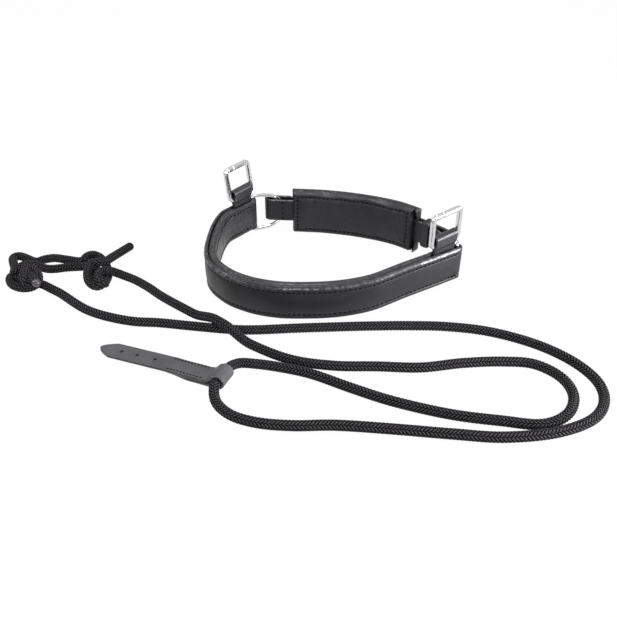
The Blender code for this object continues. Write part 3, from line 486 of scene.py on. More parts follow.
def ride(obj: Object, body: Body, slot: Slot, *nodes: str) -> Object:
    """Put a finished piece on its body and let it stand for its solids.

    Args:
        obj: The piece.
        body: The body.
        slot: The slot; not used.
        nodes: Names of the nodes that it stands for.

    Returns:
        The piece.
    """
    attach(obj, body.value)
    if nodes:
        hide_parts(*nodes)
    LOG.info("%s: %d faces on %s", obj.name, len(obj.data.polygons), body.value)
    return obj


class Nodes:
    """Short way to add nodes and links to a shader, world or geometry tree."""

    def __init__(self, tree: Tree) -> None:
        """Work on a tree."""
        self.tree = tree

    def add(self, kind: str, inputs: Optional[dict[Any, Any]] = None, **settings: Any) -> bpy.types.Node:
        """Add a node.

        Args:
            kind: The node's type.
            inputs: Values or sockets for its inputs, by name or index.
            settings: Its own settings.

        Returns:
            The node.
        """
        node = self.tree.nodes.new(kind)
        for key, value in settings.items():
            setattr(node, key, value)
        self.fill(node, inputs or {})
        return node

    def fill(self, node: bpy.types.Node, inputs: dict[Any, Any]) -> None:
        """Give a node's inputs their values or sockets, by name or index."""
        for key, value in inputs.items():
            self.put(node.inputs[key], value)

    def put(self, socket: Socket, value: Any) -> None:
        """Give a socket a value, or link another socket to it.

        Args:
            socket: The socket.
            value: The value or the other socket.
        """
        if isinstance(value, Socket):
            self.tree.links.new(value, socket)
        else:
            socket.default_value = value

    def math(self, operation: str, a: Any, b: Any = 0.0, c: Any = 0.0, clamp: bool = False) -> Socket:
        """Output of a math node."""
        return self.add("ShaderNodeMath", {0: a, 1: b, 2: c}, operation=operation, use_clamp=clamp).outputs[0]

    def remap(self, value: Any, low: float, high: float, to_low: float = 0.0, to_high: float = 1.0) -> Socket:
        """Output of a clamped map range."""
        return self.add("ShaderNodeMapRange", {0: value, 1: low, 2: high, 3: to_low, 4: to_high}).outputs[0]

    def mix(self, factor: Any, a: Any, b: Any) -> Socket:
        """Mixed colour."""
        return self.add("ShaderNodeMix", {0: factor, 6: a, 7: b}, data_type="RGBA").outputs[2]

    def bump(self, height: Any, distance: float, strength: float) -> Socket:
        """Normal of a surface raised by a height."""
        inputs = {"Height": height, "Distance": distance, "Strength": strength}
        return self.add("ShaderNodeBump", inputs).outputs[0]

    def store(self, geometry: Any, name: str, value: Any, kind: str = "FLOAT") -> Socket:
        """Geometry that keeps a value under a name."""
        inputs = {"Geometry": geometry, "Name": name, "Value": value}
        return self.add("GeometryNodeStoreNamedAttribute", inputs, data_type=kind).outputs[0]

    def read(self, name: str, kind: str = "FLOAT") -> Socket:
        """Value that a geometry keeps under a name."""
        return self.add("GeometryNodeInputNamedAttribute", {"Name": name}, data_type=kind).outputs[0]

    def resampled(self, line: Any, step: Any) -> Socket:
        """Curve along a geometry's edges, with points a step apart."""
        curve = self.add("GeometryNodeMeshToCurve", {0: line}).outputs[0]
        return self.add("GeometryNodeResampleCurve", {0: curve, "Length": step}, mode="LENGTH").outputs[0]

    def finished(self, geometry: Any, material: Any) -> Socket:
        """Make geometry plain and smooth and give it its material.

        Args:
            geometry: The geometry.
            material: The material's socket.

        Returns:
            The finished geometry.
        """
        real = self.add("GeometryNodeRealizeInstances", {0: geometry})
        smooth = self.add("GeometryNodeSetShadeSmooth", {0: real.outputs[0]})
        return self.add("GeometryNodeSetMaterial", {0: smooth.outputs[0], "Material": material}).outputs[0]

    def noise(self, vector: Any, scale: Any, detail: float = 2.0, roughness: float = 0.5) -> Socket:
        """Value of a noise texture."""
        return self.add("ShaderNodeTexNoise", {"Vector": vector, "Scale": scale, "Detail": detail,
                                               "Roughness": roughness}).outputs[0]


def new_group(name: str, kind: str, inputs: dict[str, str],
              outputs: dict[str, str]) -> tuple[Nodes, Any, bpy.types.Node]:
    """Start a node group with named inputs and outputs.

    Args:
        name: The group's name.
        kind: Tree type, such as ShaderNodeTree.
        inputs: Kind of each input's socket, by the input's name.
        outputs: Kind of each output's socket, by the output's name.

    Returns:
        The tree's helper, the sockets of its inputs and its output node.
    """
    tree = bpy.data.node_groups.new(name, kind)
    for sockets, side in ((inputs, "INPUT"), (outputs, "OUTPUT")):
        for title, socket in sockets.items():
            tree.interface.new_socket(title, in_out=side, socket_type="NodeSocket" + socket)
    nodes = Nodes(tree)
    return nodes, nodes.add("NodeGroupInput").outputs, nodes.add("NodeGroupOutput")


@dataclass(frozen=True)
class BraidRule:
    """How the rope's yarns lie: how many go each way round and how far apart they cross."""

    yarns: int = 8
    cell: float = 0.0030

    def height(self, nodes: Nodes, turn: Any, distance: Any) -> Socket:
        """Height of the braid, from 0 between yarns to 1 on a yarn's crown.

        Args:
            nodes: The tree that gets the nodes.
            turn: Place round the rope, in turns.
            distance: Place along the rope.

        Returns:
            The height's socket.
        """
        columns = nodes.math("MULTIPLY", turn, float(self.yarns))
        steps = nodes.math("DIVIDE", distance, self.cell)
        crowns = []
        for operation in ("ADD", "SUBTRACT"):
            place = nodes.math("FRACT", nodes.math(operation, columns, steps))
            centred = nodes.math("MULTIPLY_ADD", place, 2.0, -1.0)
            crowns.append(nodes.math("SUBTRACT", 1.0, nodes.math("MULTIPLY", centred, centred)))
        phase = nodes.math("MULTIPLY", nodes.math("SUBTRACT", columns, 0.75), math.pi)
        share = nodes.math("MULTIPLY_ADD", nodes.math("COSINE", phase), 1.1, 0.5, clamp=True)
        other = nodes.math("SUBTRACT", 1.0, share)
        return nodes.math("MAXIMUM", nodes.math("MULTIPLY", crowns[0], share),
                          nodes.math("MULTIPLY", crowns[1], other))


BRAID = BraidRule()


class GeometryTrees:
    """The geometry node trees that make what repeats: the rope's braid and the stitches."""

    def __init__(self) -> None:
        """Build both trees."""
        self.braid = self._braided_rope()
        self.stitches = self._stitch_rows()

    def _braided_rope(self) -> Tree:
        """Tube along a line, raised where its yarns cross over each other.

        Returns:
            The tree.
        """
        n, given, end = new_group("braided_rope", "GeometryNodeTree", {
            "Line": "Geometry", "Radius": "Float", "Relief": "Float", "Step": "Float", "Sides": "Int",
            "Finish": "Material"}, {"Rope": "Geometry"})
        line = n.resampled(given["Line"], given["Step"])
        length = n.add("GeometryNodeSplineParameter").outputs["Length"]
        marked = n.store(line, "rope_distance", length)
        circle = n.add("GeometryNodeCurvePrimitiveCircle", {"Resolution": given["Sides"],
                                                            "Radius": given["Radius"]}, mode="RADIUS")
        factor = n.add("GeometryNodeSplineParameter").outputs["Factor"]
        turned = n.store(circle.outputs[0], "rope_turn", factor)
        tube = n.add("GeometryNodeCurveToMesh", {"Curve": marked, "Profile Curve": turned, "Fill Caps": True})
        turn, distance = n.read("rope_turn"), n.read("rope_distance")
        height = BRAID.height(n, turn, distance)
        angle = n.math("MULTIPLY", turn, 2.0 * math.pi)
        place = n.add("ShaderNodeCombineXYZ", {0: n.math("COSINE", angle), 1: n.math("SINE", angle),
                                               2: distance}).outputs[0]
        stored = n.store(tube.outputs[0], "braid", place, "FLOAT_VECTOR")
        offset = n.add("ShaderNodeVectorMath", {0: n.add("GeometryNodeInputNormal").outputs[0],
                                                "Scale": n.math("MULTIPLY", height, given["Relief"])},
                       operation="SCALE")
        moved = n.add("GeometryNodeSetPosition", {"Geometry": stored, "Offset": offset.outputs[0]})
        n.put(end.inputs[0], n.finished(moved.outputs[0], given["Finish"]))
        return n.tree

    def _stitch_rows(self) -> Tree:
        """A sunk oval of thread at every step of each line, turned to the line and its surface.

        Returns:
            The tree.
        """
        n, given, end = new_group("stitch_rows", "GeometryNodeTree", {
            "Lines": "Geometry", "Pitch": "Float", "Length": "Float", "Thread": "Float", "Slant": "Float",
            "Finish": "Material"}, {"Stitches": "Geometry"})
        line = n.resampled(given["Lines"], given["Pitch"])
        ball = n.add("GeometryNodeMeshUVSphere", {"Segments": 8, "Rings": 6, "Radius": 0.5})
        depth = n.math("MULTIPLY", given["Thread"], 0.7)
        size = n.add("ShaderNodeCombineXYZ", {0: given["Length"], 1: given["Thread"], 2: depth}).outputs[0]
        out = n.read("out", "FLOAT_VECTOR")
        stand = n.add("FunctionNodeAlignRotationToVector", {"Vector": out}, axis="Z")
        tangent = n.add("GeometryNodeInputTangent").outputs[0]
        turned = n.add("FunctionNodeAlignRotationToVector", {"Rotation": stand.outputs[0], "Vector": tangent},
                       axis="X", pivot_axis="Z")
        slant = n.add("FunctionNodeAxisAngleToRotation", {"Axis": (0.0, 0.0, 1.0), "Angle": given["Slant"]})
        rotation = n.add("FunctionNodeRotateRotation", {0: turned.outputs[0], 1: slant.outputs[0]},
                         rotation_space="LOCAL")
        rows = n.add("GeometryNodeInstanceOnPoints", {"Points": line, "Instance": ball.outputs[0],
                                                      "Rotation": rotation.outputs[0], "Scale": size})
        n.put(end.inputs[0], n.finished(rows.outputs[0], given["Finish"]))
        return n.tree


def grow(obj: Object, tree: Tree, values: dict[str, Any]) -> Object:
    """Run a geometry tree on an object and keep what it makes as a plain mesh.

    Args:
        obj: Object that holds the lines.
        tree: The geometry tree.
        values: Values of its inputs by their names.

    Returns:
        The same object with its new mesh.
    """
    modifier = obj.modifiers.new(tree.name, "NODES")
    modifier.node_group = tree
    for item in tree.interface.items_tree:
        if item.item_type == "SOCKET" and item.in_out == "INPUT" and item.name in values:
            modifier[item.identifier] = values[item.name]
    apply_modifiers(obj)
    return obj


class SharedEffects:
    """Shader groups that several finishes use."""

    def __init__(self) -> None:
        """Build the groups."""
        self.grain = self._leather_grain()
        self.wear_and_light_mask = self._edge_wear_and_light()
        self.weave = self._braid_weave()

    def _leather_grain(self) -> Tree:
        """Pebbled leather with fine creases and slow changes of tone.

        Returns:
            The tree.
        """
        n, given, end = new_group("leather_grain", "ShaderNodeTree", {
            "Place": "Vector", "Pebbles": "Float", "Creases": "Float"}, {"Height": "Float", "Tone": "Float"})
        place = given["Place"]
        bend = n.add("ShaderNodeTexNoise", {"Vector": place, "Scale": 260.0, "Detail": 2.0}).outputs[1]
        shift = n.add("ShaderNodeVectorMath", {0: bend, 1: (0.0016, 0.0016, 0.0016)}, operation="MULTIPLY")
        warped = n.add("ShaderNodeVectorMath", {0: place, 1: shift.outputs[0]}, operation="ADD").outputs[0]
        cells = n.add("ShaderNodeTexVoronoi", {"Vector": warped, "Scale": given["Pebbles"]},
                      feature="DISTANCE_TO_EDGE")
        pebble = n.remap(cells.outputs["Distance"], 0.0, 0.35)
        crease = n.noise(warped, 95.0, 4.0, 0.6)
        lines = n.remap(n.math("ABSOLUTE", n.math("SUBTRACT", crease, 0.5)), 0.0, 0.05)
        raised = n.math("MULTIPLY", n.math("SUBTRACT", lines, 1.0), given["Creases"])
        fine = n.math("MULTIPLY", n.noise(place, 2600.0, 2.0), 0.4)
        height = n.math("ADD", n.math("ADD", n.math("MULTIPLY", pebble, 0.5), raised), fine)
        n.fill(end, {"Height": height, "Tone": n.remap(n.noise(place, 34.0, 4.0, 0.6), 0.3, 0.7)})
        return n.tree

    def _edge_wear_and_light(self) -> Tree:
        """Mask of edge wear and painted light along edges, broken up so that it isn't even.

        Returns:
            The tree.
        """
        n, given, end = new_group("edge_wear_and_light", "ShaderNodeTree", {
            "Place": "Vector", "Edge": "Float", "Breaks": "Float"}, {"Mask": "Float"})
        cloud = n.noise(given["Place"], given["Breaks"], 4.0)
        broken = n.remap(cloud, 0.44, 0.58, 0.10, 1.0)
        n.put(end.inputs["Mask"], n.math("MULTIPLY", given["Edge"], broken, clamp=True))
        return n.tree

    def _braid_weave(self) -> Tree:
        """Height and fibre of the braid at a place on the rope.

        Returns:
            The tree.
        """
        n, given, end = new_group("braid_weave", "ShaderNodeTree", {"Braid": "Vector"},
                                  {"Height": "Float", "Fibre": "Float"})
        x, y, along = n.add("ShaderNodeSeparateXYZ", {0: given["Braid"]}).outputs
        turn = n.math("DIVIDE", n.math("ARCTAN2", y, x), 2.0 * math.pi)
        place = n.add("ShaderNodeCombineXYZ", {0: n.math("MULTIPLY", x, 7.0), 1: n.math("MULTIPLY", y, 7.0),
                                               2: n.math("MULTIPLY", along, 420.0)}).outputs[0]
        n.fill(end, {"Height": BRAID.height(n, turn, along), "Fibre": n.noise(place, 1.0, 3.0, 0.65)})
        return n.tree


def new_material(name: str) -> tuple[Material, Nodes, bpy.types.Node]:
    """Start a material with its Principled shader.

    Args:
        name: The material's name.

    Returns:
        The material, its tree's helper and its shader.
    """
    material = bpy.data.materials.new(name)
    material.use_nodes = True
    return material, Nodes(material.node_tree), material.node_tree.nodes["Principled BSDF"]


@dataclass(frozen=True)
class LeatherFinish:
    """Dyed leather with grain and soft creases, and an edge colour laid on under an edge mask: lighter edges
    that are partly edge wear and partly painted highlight; where that colour is darker, as on the tab, it is
    painted shade.
    """

    name: str
    colour: Colour = (0.0075, 0.0072, 0.0080)
    pale: Colour = (0.0130, 0.0126, 0.0138)
    # Edge colour: lighter than the leather, partly edge wear and partly painted highlight
    wear_and_painted_light: Colour = (0.120, 0.116, 0.122)
    roughness: float = 0.46
    shine: float = 0.33
    pebbles: float = 1100.0
    creases: float = 0.30
    relief: float = 0.00012
    coat: float = 0.06
    rubbed_coat: float = 0.95
    coat_roughness: float = 0.13
    polish: float = 0.22
    breaks: float = 260.0
    tint: Colour = (0.96, 0.93, 1.0)

    def build(self, effects: SharedEffects) -> Material:
        """Make the material from the shared effects.

        Args:
            effects: The shared effects.

        Returns:
            The material.
        """
        material, n, shader = new_material(self.name)
        place = n.add("ShaderNodeTexCoord").outputs["Object"]
        grain = n.add("ShaderNodeGroup", {"Place": place, "Pebbles": self.pebbles, "Creases": self.creases},
                      node_tree=effects.grain).outputs
        edge = n.add("ShaderNodeAttribute", attribute_name="edge").outputs["Fac"]
        wear_and_light_mask = n.add("ShaderNodeGroup", {"Place": place, "Edge": edge, "Breaks": self.breaks},
                     node_tree=effects.wear_and_light_mask).outputs["Mask"]
        body = n.mix(n.remap(grain["Tone"], 0.0, 1.0), (*self.colour, 1.0), (*self.pale, 1.0))
        tone = n.remap(grain["Tone"], 0.0, 1.0, self.roughness + 0.05, self.roughness - 0.05)
        # Base colour turns to the edge colour under the edge mask: partly edge wear and partly painted
        # highlight, and painted shade where the edge colour is dark
        n.fill(shader, {
            "Base Color": n.mix(wear_and_light_mask, body, (*self.wear_and_painted_light, 1.0)),
            "Roughness": n.math("SUBTRACT", tone, n.math("MULTIPLY", wear_and_light_mask, self.polish)),
            "Specular IOR Level": self.shine, "Specular Tint": (*self.tint, 1.0),
            "Coat Weight": n.math("MULTIPLY_ADD", wear_and_light_mask, self.rubbed_coat, self.coat),
            "Coat Roughness": self.coat_roughness, "Normal": n.bump(grain["Height"], self.relief, 0.8)})
        return material


@dataclass(frozen=True)
class MetalFinish:
    """Bright plated steel with faint brushing and dull spots."""

    name: str
    colour: Colour = (0.68, 0.68, 0.69)
    dull: Colour = (0.62, 0.62, 0.62)
    roughness: float = 0.10

    def build(self) -> Material:
        """Make the material.

        Returns:
            The material.
        """
        material, n, shader = new_material(self.name)
        place = n.add("ShaderNodeTexCoord").outputs["Object"]
        spots = n.noise(place, 260.0, 4.0, 0.6)
        n.fill(shader, {
            "Base Color": n.mix(n.remap(spots, 0.35, 0.75), (*self.colour, 1.0), (*self.dull, 1.0)),
            "Metallic": 1.0, "Normal": n.bump(n.noise(place, 700.0, 2.0), 0.00001, 0.4),
            "Roughness": n.remap(spots, 0.3, 0.7, self.roughness - 0.02, self.roughness + 0.03)})
        return material


@dataclass(frozen=True)
class RopeFinish:
    """Tight braid of dark synthetic yarn, with painted shade in the hollows between its yarns."""

    name: str
    # Near-black colour of the braid's hollows between yarns: painted shade
    gap: Colour = (0.0008, 0.0008, 0.0009)
    yarn: Colour = (0.042, 0.039, 0.043)
    roughness: float = 0.60
    shine: float = 0.09
    relief: float = 0.0013

    def build(self, effects: SharedEffects) -> Material:
        """Make the material from the shared effects.

        Args:
            effects: The shared effects.

        Returns:
            The material.
        """
        material, n, shader = new_material(self.name)
        braid = n.add("ShaderNodeAttribute", attribute_name="braid").outputs["Vector"]
        height, fibre = n.add("ShaderNodeGroup", {"Braid": braid}, node_tree=effects.weave).outputs
        pale = tuple(c * 1.7 for c in self.yarn)
        strand = n.mix(n.remap(fibre, 0.35, 0.75), (*self.yarn, 1.0), (*pale, 1.0))
        full = n.math("ADD", height, n.math("MULTIPLY", fibre, 0.25))
        # Base colour: the yarn's colour on high places of the braid, the gap colour in its hollows as painted
        # shade
        n.fill(shader, {
            "Base Color": n.mix(n.remap(height, 0.45, 0.95), (*self.gap, 1.0), strand),
            "Specular IOR Level": self.shine, "Normal": n.bump(full, self.relief, 1.0),
            "Roughness": n.remap(fibre, 0.2, 0.8, self.roughness + 0.10, self.roughness - 0.10)})
        return material


@dataclass(frozen=True)
class PlainFinish:
    """Small plain finish such as thread or a melted rope end."""

    name: str
    colour: Colour
    roughness: float
    grain: float
    shine: float = 0.5
    relief: float = 0.0001

    def build(self) -> Material:
        """Make the material.

        Returns:
            The material.
        """
        material, n, shader = new_material(self.name)
        place = n.add("ShaderNodeTexCoord").outputs["Object"]
        cloud = n.noise(place, self.grain, 3.0, 0.6)
        pale = tuple(min(c * 1.7, 1.0) for c in self.colour)
        n.fill(shader, {
            "Base Color": n.mix(cloud, (*self.colour, 1.0), (*pale, 1.0)),
            "Specular IOR Level": self.shine, "Normal": n.bump(cloud, self.relief, 0.6),
            "Roughness": n.remap(cloud, 0.3, 0.7, self.roughness - 0.06, self.roughness + 0.06)})
        return material


class Finishes:
    """Every finish of the noseband and its rope."""

    def __init__(self) -> None:
        """Build the materials."""
        effects = SharedEffects()
        self.strap = LeatherFinish("strap_leather").build(effects)
        self.chape = LeatherFinish("chape_leather", colour=(0.011, 0.0107, 0.0122),
                                   pale=(0.018, 0.0175, 0.0195), roughness=0.37, shine=0.50).build(effects)
        self.lining = LeatherFinish("lining_leather", colour=(0.011, 0.0105, 0.0115),
                                    pale=(0.019, 0.018, 0.020), roughness=0.34, pebbles=1400.0,
                                    creases=1.0, relief=0.00034, coat=0.16).build(effects)
        self.pad = LeatherFinish("pad_leather", colour=(0.0065, 0.0062, 0.0072), pale=(0.012, 0.0115, 0.0130),
                                 roughness=0.44, pebbles=1300.0, creases=0.80, relief=0.00022, shine=0.36,
                                 coat=0.06).build(effects)
        # The tab's edge colour is darker than its leather: painted shade on its sides
        self.tab = LeatherFinish("tab_leather", colour=(0.056, 0.055, 0.059), pale=(0.094, 0.092, 0.097),
                                 wear_and_painted_light=(0.005, 0.0048, 0.0054), roughness=0.56, shine=0.24,
                                 creases=0.30).build(effects)
        self.metal = MetalFinish("plated_steel").build()
        self.rope = RopeFinish("rope_braid").build(effects)
        self.thread = PlainFinish("thread", (0.0015, 0.0015, 0.0018), 0.60, 3000.0, 0.08).build()
        self.melt = PlainFinish("melted_rope_end", (0.038, 0.032, 0.039), 0.24, 500.0).build()


@dataclass(frozen=True)
class Softbox:
    """Square area lamp: where it hangs, the point that it faces, its side and its power."""

    name: str
    place: tuple[float, float, float]
    target: tuple[float, float, float]
    size: float
    power: float

    def build(self) -> None:
        """Hang the lamp."""
        data = bpy.data.lights.new(self.name, "AREA")
        data.size = self.size
        data.energy = self.power
        obj = linked(self.name, data)
        obj.location = self.place
        aim = Vector(self.target) - Vector(self.place)
        obj.rotation_euler = aim.to_track_quat("-Z", "Y").to_euler()


SOFTBOXES = (
    Softbox("overhead", (-0.10, -0.02, 1.25), (-0.05, -0.05, 0.0), size=0.45, power=9.0),
    Softbox("front", (-0.10, -1.30, 0.43), (-0.02, -0.08, 0.03), size=0.32, power=3.5),
    Softbox("left", (-1.1, -0.1, 0.6), (0.0, -0.05, 0.0), size=0.40, power=5.0),
    Softbox("right", (0.95, -0.32, 0.21), (0.08, -0.03, 0.03), size=0.40, power=18.0),
)


@dataclass
class Studio:
    """Floor, light and camera."""

    eye: Vector = field(default_factory=lambda: Vector((-0.0230, -0.6490, 0.3940)))
    pitch: float = 55.4
    lens: float = 42.13
    sensor: float = 36.0
    ambient: float = 0.42
    floor_size: float = 8.0
    floor_drop: float = 0.0002
    floor_glow: float = 0.97

    def build(self) -> None:
        """Make the whole studio."""
        self._camera()
        self._floor()
        self._world()
        for lamp in SOFTBOXES:
            lamp.build()
        bpy.context.scene.view_settings.view_transform = "Standard"

    def _camera(self) -> None:
        """Camera at the photograph's viewing angle."""
        data = bpy.data.cameras.new("camera")
        data.sensor_width = self.sensor
        data.sensor_fit = "HORIZONTAL"
        data.lens = self.lens
        data.clip_start = 0.01
        obj = linked("camera", data)
        obj.location = self.eye
        obj.rotation_euler = (math.radians(self.pitch), 0.0, 0.0)
        bpy.context.scene.camera = obj

    def _floor(self) -> None:
        """Pale floor that is white to the camera apart from the object's shadow."""
        material, n, shader = new_material("floor")
        n.fill(shader, {"Base Color": (0.86, 0.86, 0.86, 1.0), "Roughness": 0.9, "Specular IOR Level": 0.0})
        rays = n.add("ShaderNodeLightPath").outputs
        seen = n.math("MAXIMUM", rays["Is Camera Ray"],
                      n.math("MAXIMUM", rays["Is Glossy Ray"], rays["Is Transmission Ray"]))
        glow = n.add("ShaderNodeEmission", {"Color": (1.0, 1.0, 1.0, 1.0), "Strength": 1.0})
        share = n.math("MULTIPLY", seen, self.floor_glow)
        blend = n.add("ShaderNodeMixShader", {0: share, 1: shader.outputs[0], 2: glow.outputs[0]})
        n.put(material.node_tree.nodes["Material Output"].inputs[0], blend.outputs[0])
        bm = bmesh.new()
        bmesh.ops.create_grid(bm, x_segments=1, y_segments=1, size=self.floor_size)
        obj = placed(bm, "floor", material)
        obj.location.z = -self.floor_drop

    def _world(self) -> None:
        """White surroundings to the eye and in the metal, softer as light."""
        world = bpy.data.worlds.new("studio")
        world.use_nodes = True
        bpy.context.scene.world = world
        n = Nodes(world.node_tree)
        rays = n.add("ShaderNodeLightPath").outputs
        seen = n.math("MAXIMUM", rays["Is Camera Ray"], rays["Is Transmission Ray"])
        way = n.add("ShaderNodeTexCoord").outputs["Generated"]
        height = n.add("ShaderNodeSeparateXYZ", {0: way}).outputs[2]
        mirror = n.math("SUBTRACT", n.remap(height, 0.05, 0.60, 0.18, 0.95), self.ambient)
        other = n.math("MULTIPLY_ADD", rays["Is Glossy Ray"], mirror, self.ambient)
        n.fill(world.node_tree.nodes["Background"], {"Strength": n.math("MAXIMUM", other, seen),
                                                     "Color": (1.0, 1.0, 1.0, 1.0)})


@dataclass(frozen=True)
class Stitch:
    """One kind of stitch: how far apart, how long and how wide."""

    kind: str
    pitch: float
    length: float
    thread: float


STRAP_STITCH = Stitch("stitching", 0.0048, 0.0031, 0.0020)
FINE_STITCH = Stitch("fine_stitching", 0.0029, 0.0020, 0.0014)
# Turn of each stitch out of its row's direction, in radians
SLANT = 0.16
# Distance between the points of a row's line, and how far off the leather they lie
ROW_STEP = 0.003
ROW_LIFT = 0.0001


class Stitching:
    """Rows of stitches, gathered for each body and kind and grown in one piece."""

    def __init__(self, tree: Tree, thread: Material) -> None:
        """Keep what the rows are made with.

        Args:
            tree: The geometry tree of the stitches.
            thread: Their finish.
        """
        self.tree = tree
        self.thread = thread
        self.rows: dict[tuple[Body, Stitch], list[list[tuple[Vector, Vector]]]] = {}

    def row(self, body: Body, points: Iterable[tuple[Vector, Vector]], stitch: Stitch = STRAP_STITCH) -> None:
        """Add a row of points, each with the direction away from its surface."""
        self.rows.setdefault((body, stitch), []).append(list(points))

    def beside(self, body: Body, run: Run, marks: Iterable[tuple[float, float, float]], facing: float = 1.0,
               stitch: Stitch = STRAP_STITCH) -> None:
        """Add a row on an upright strap, by distance along it, distance out and height."""
        self.row(body, [(run.at(d) + run.side(d) * out + UP * height, run.side(d) * facing)
                        for d, out, height in marks], stitch)

    def build(self) -> None:
        """Grow the stitches of every body."""
        for (body, stitch), rows in self.rows.items():
            bm = bmesh.new()
            out_layer = bm.verts.layers.float_vector.new("out")
            for row in rows:
                before = None
                for point, out in row:
                    vert = bm.verts.new(point)
                    vert[out_layer] = out
                    if before is not None:
                        bm.edges.new((before, vert))
                    before = vert
            obj = placed(bm, f"{stitch.kind}_{body.value}")
            grow(obj, self.tree, {"Pitch": stitch.pitch, "Length": stitch.length, "Thread": stitch.thread,
                                  "Slant": SLANT, "Finish": self.thread})
            ride(obj, body, Slot.BRIDLE_LEATHER)


class Workshop:
    """What every sub-assembly is made with."""

    def __init__(self) -> None:
        """Build the finishes and the geometry trees."""
        self.finishes = Finishes()
        self.trees = GeometryTrees()
        self.stitching = Stitching(self.trees.stitches, self.finishes.thread)


@dataclass
class StrapEnd:
    """One end of the nose strap: its ring's bar, its directions and how its square loop stands."""

    name: str
    bar: Vector
    angle: float
    turns_left: bool
    chape_back: float
    tilt: float
    lean: float
    chape_width: float = 0.0256
    ring_wire: float = 0.0040
    gap: float = 0.0003

    @property
    def along(self) -> Vector:
        """Direction of the strap's end, away from the strap."""
        return heading(self.angle)

    @property
    def out(self) -> Vector:
        """Direction away from the horse's nose."""
        return right_of(-self.along) if self.turns_left else right_of(self.along)

    @property
    def chape_centre(self) -> float:
        """Distance from the ring's bar back to the middle of the chape."""
        return self.ring_wire / 2 + self.gap + self.chape_width / 2 + self.chape_back

    def place(self, back: float, out: float, height: float) -> Vector:
        """Point a distance back from the bar, out from the band's middle, and up."""
        return self.bar - self.along * back + self.out * out + UP * height


LEFT = StrapEnd("left", bar=at(-0.0878, 0.0782), angle=math.radians(51), turns_left=True, chape_back=0.0,
                tilt=math.radians(2), lean=math.radians(6.5))
RIGHT = StrapEnd("right", bar=at(0.1226, -0.0262), angle=math.radians(33), turns_left=False, chape_back=0.003,
                 tilt=math.radians(5.5), lean=math.radians(4.5))


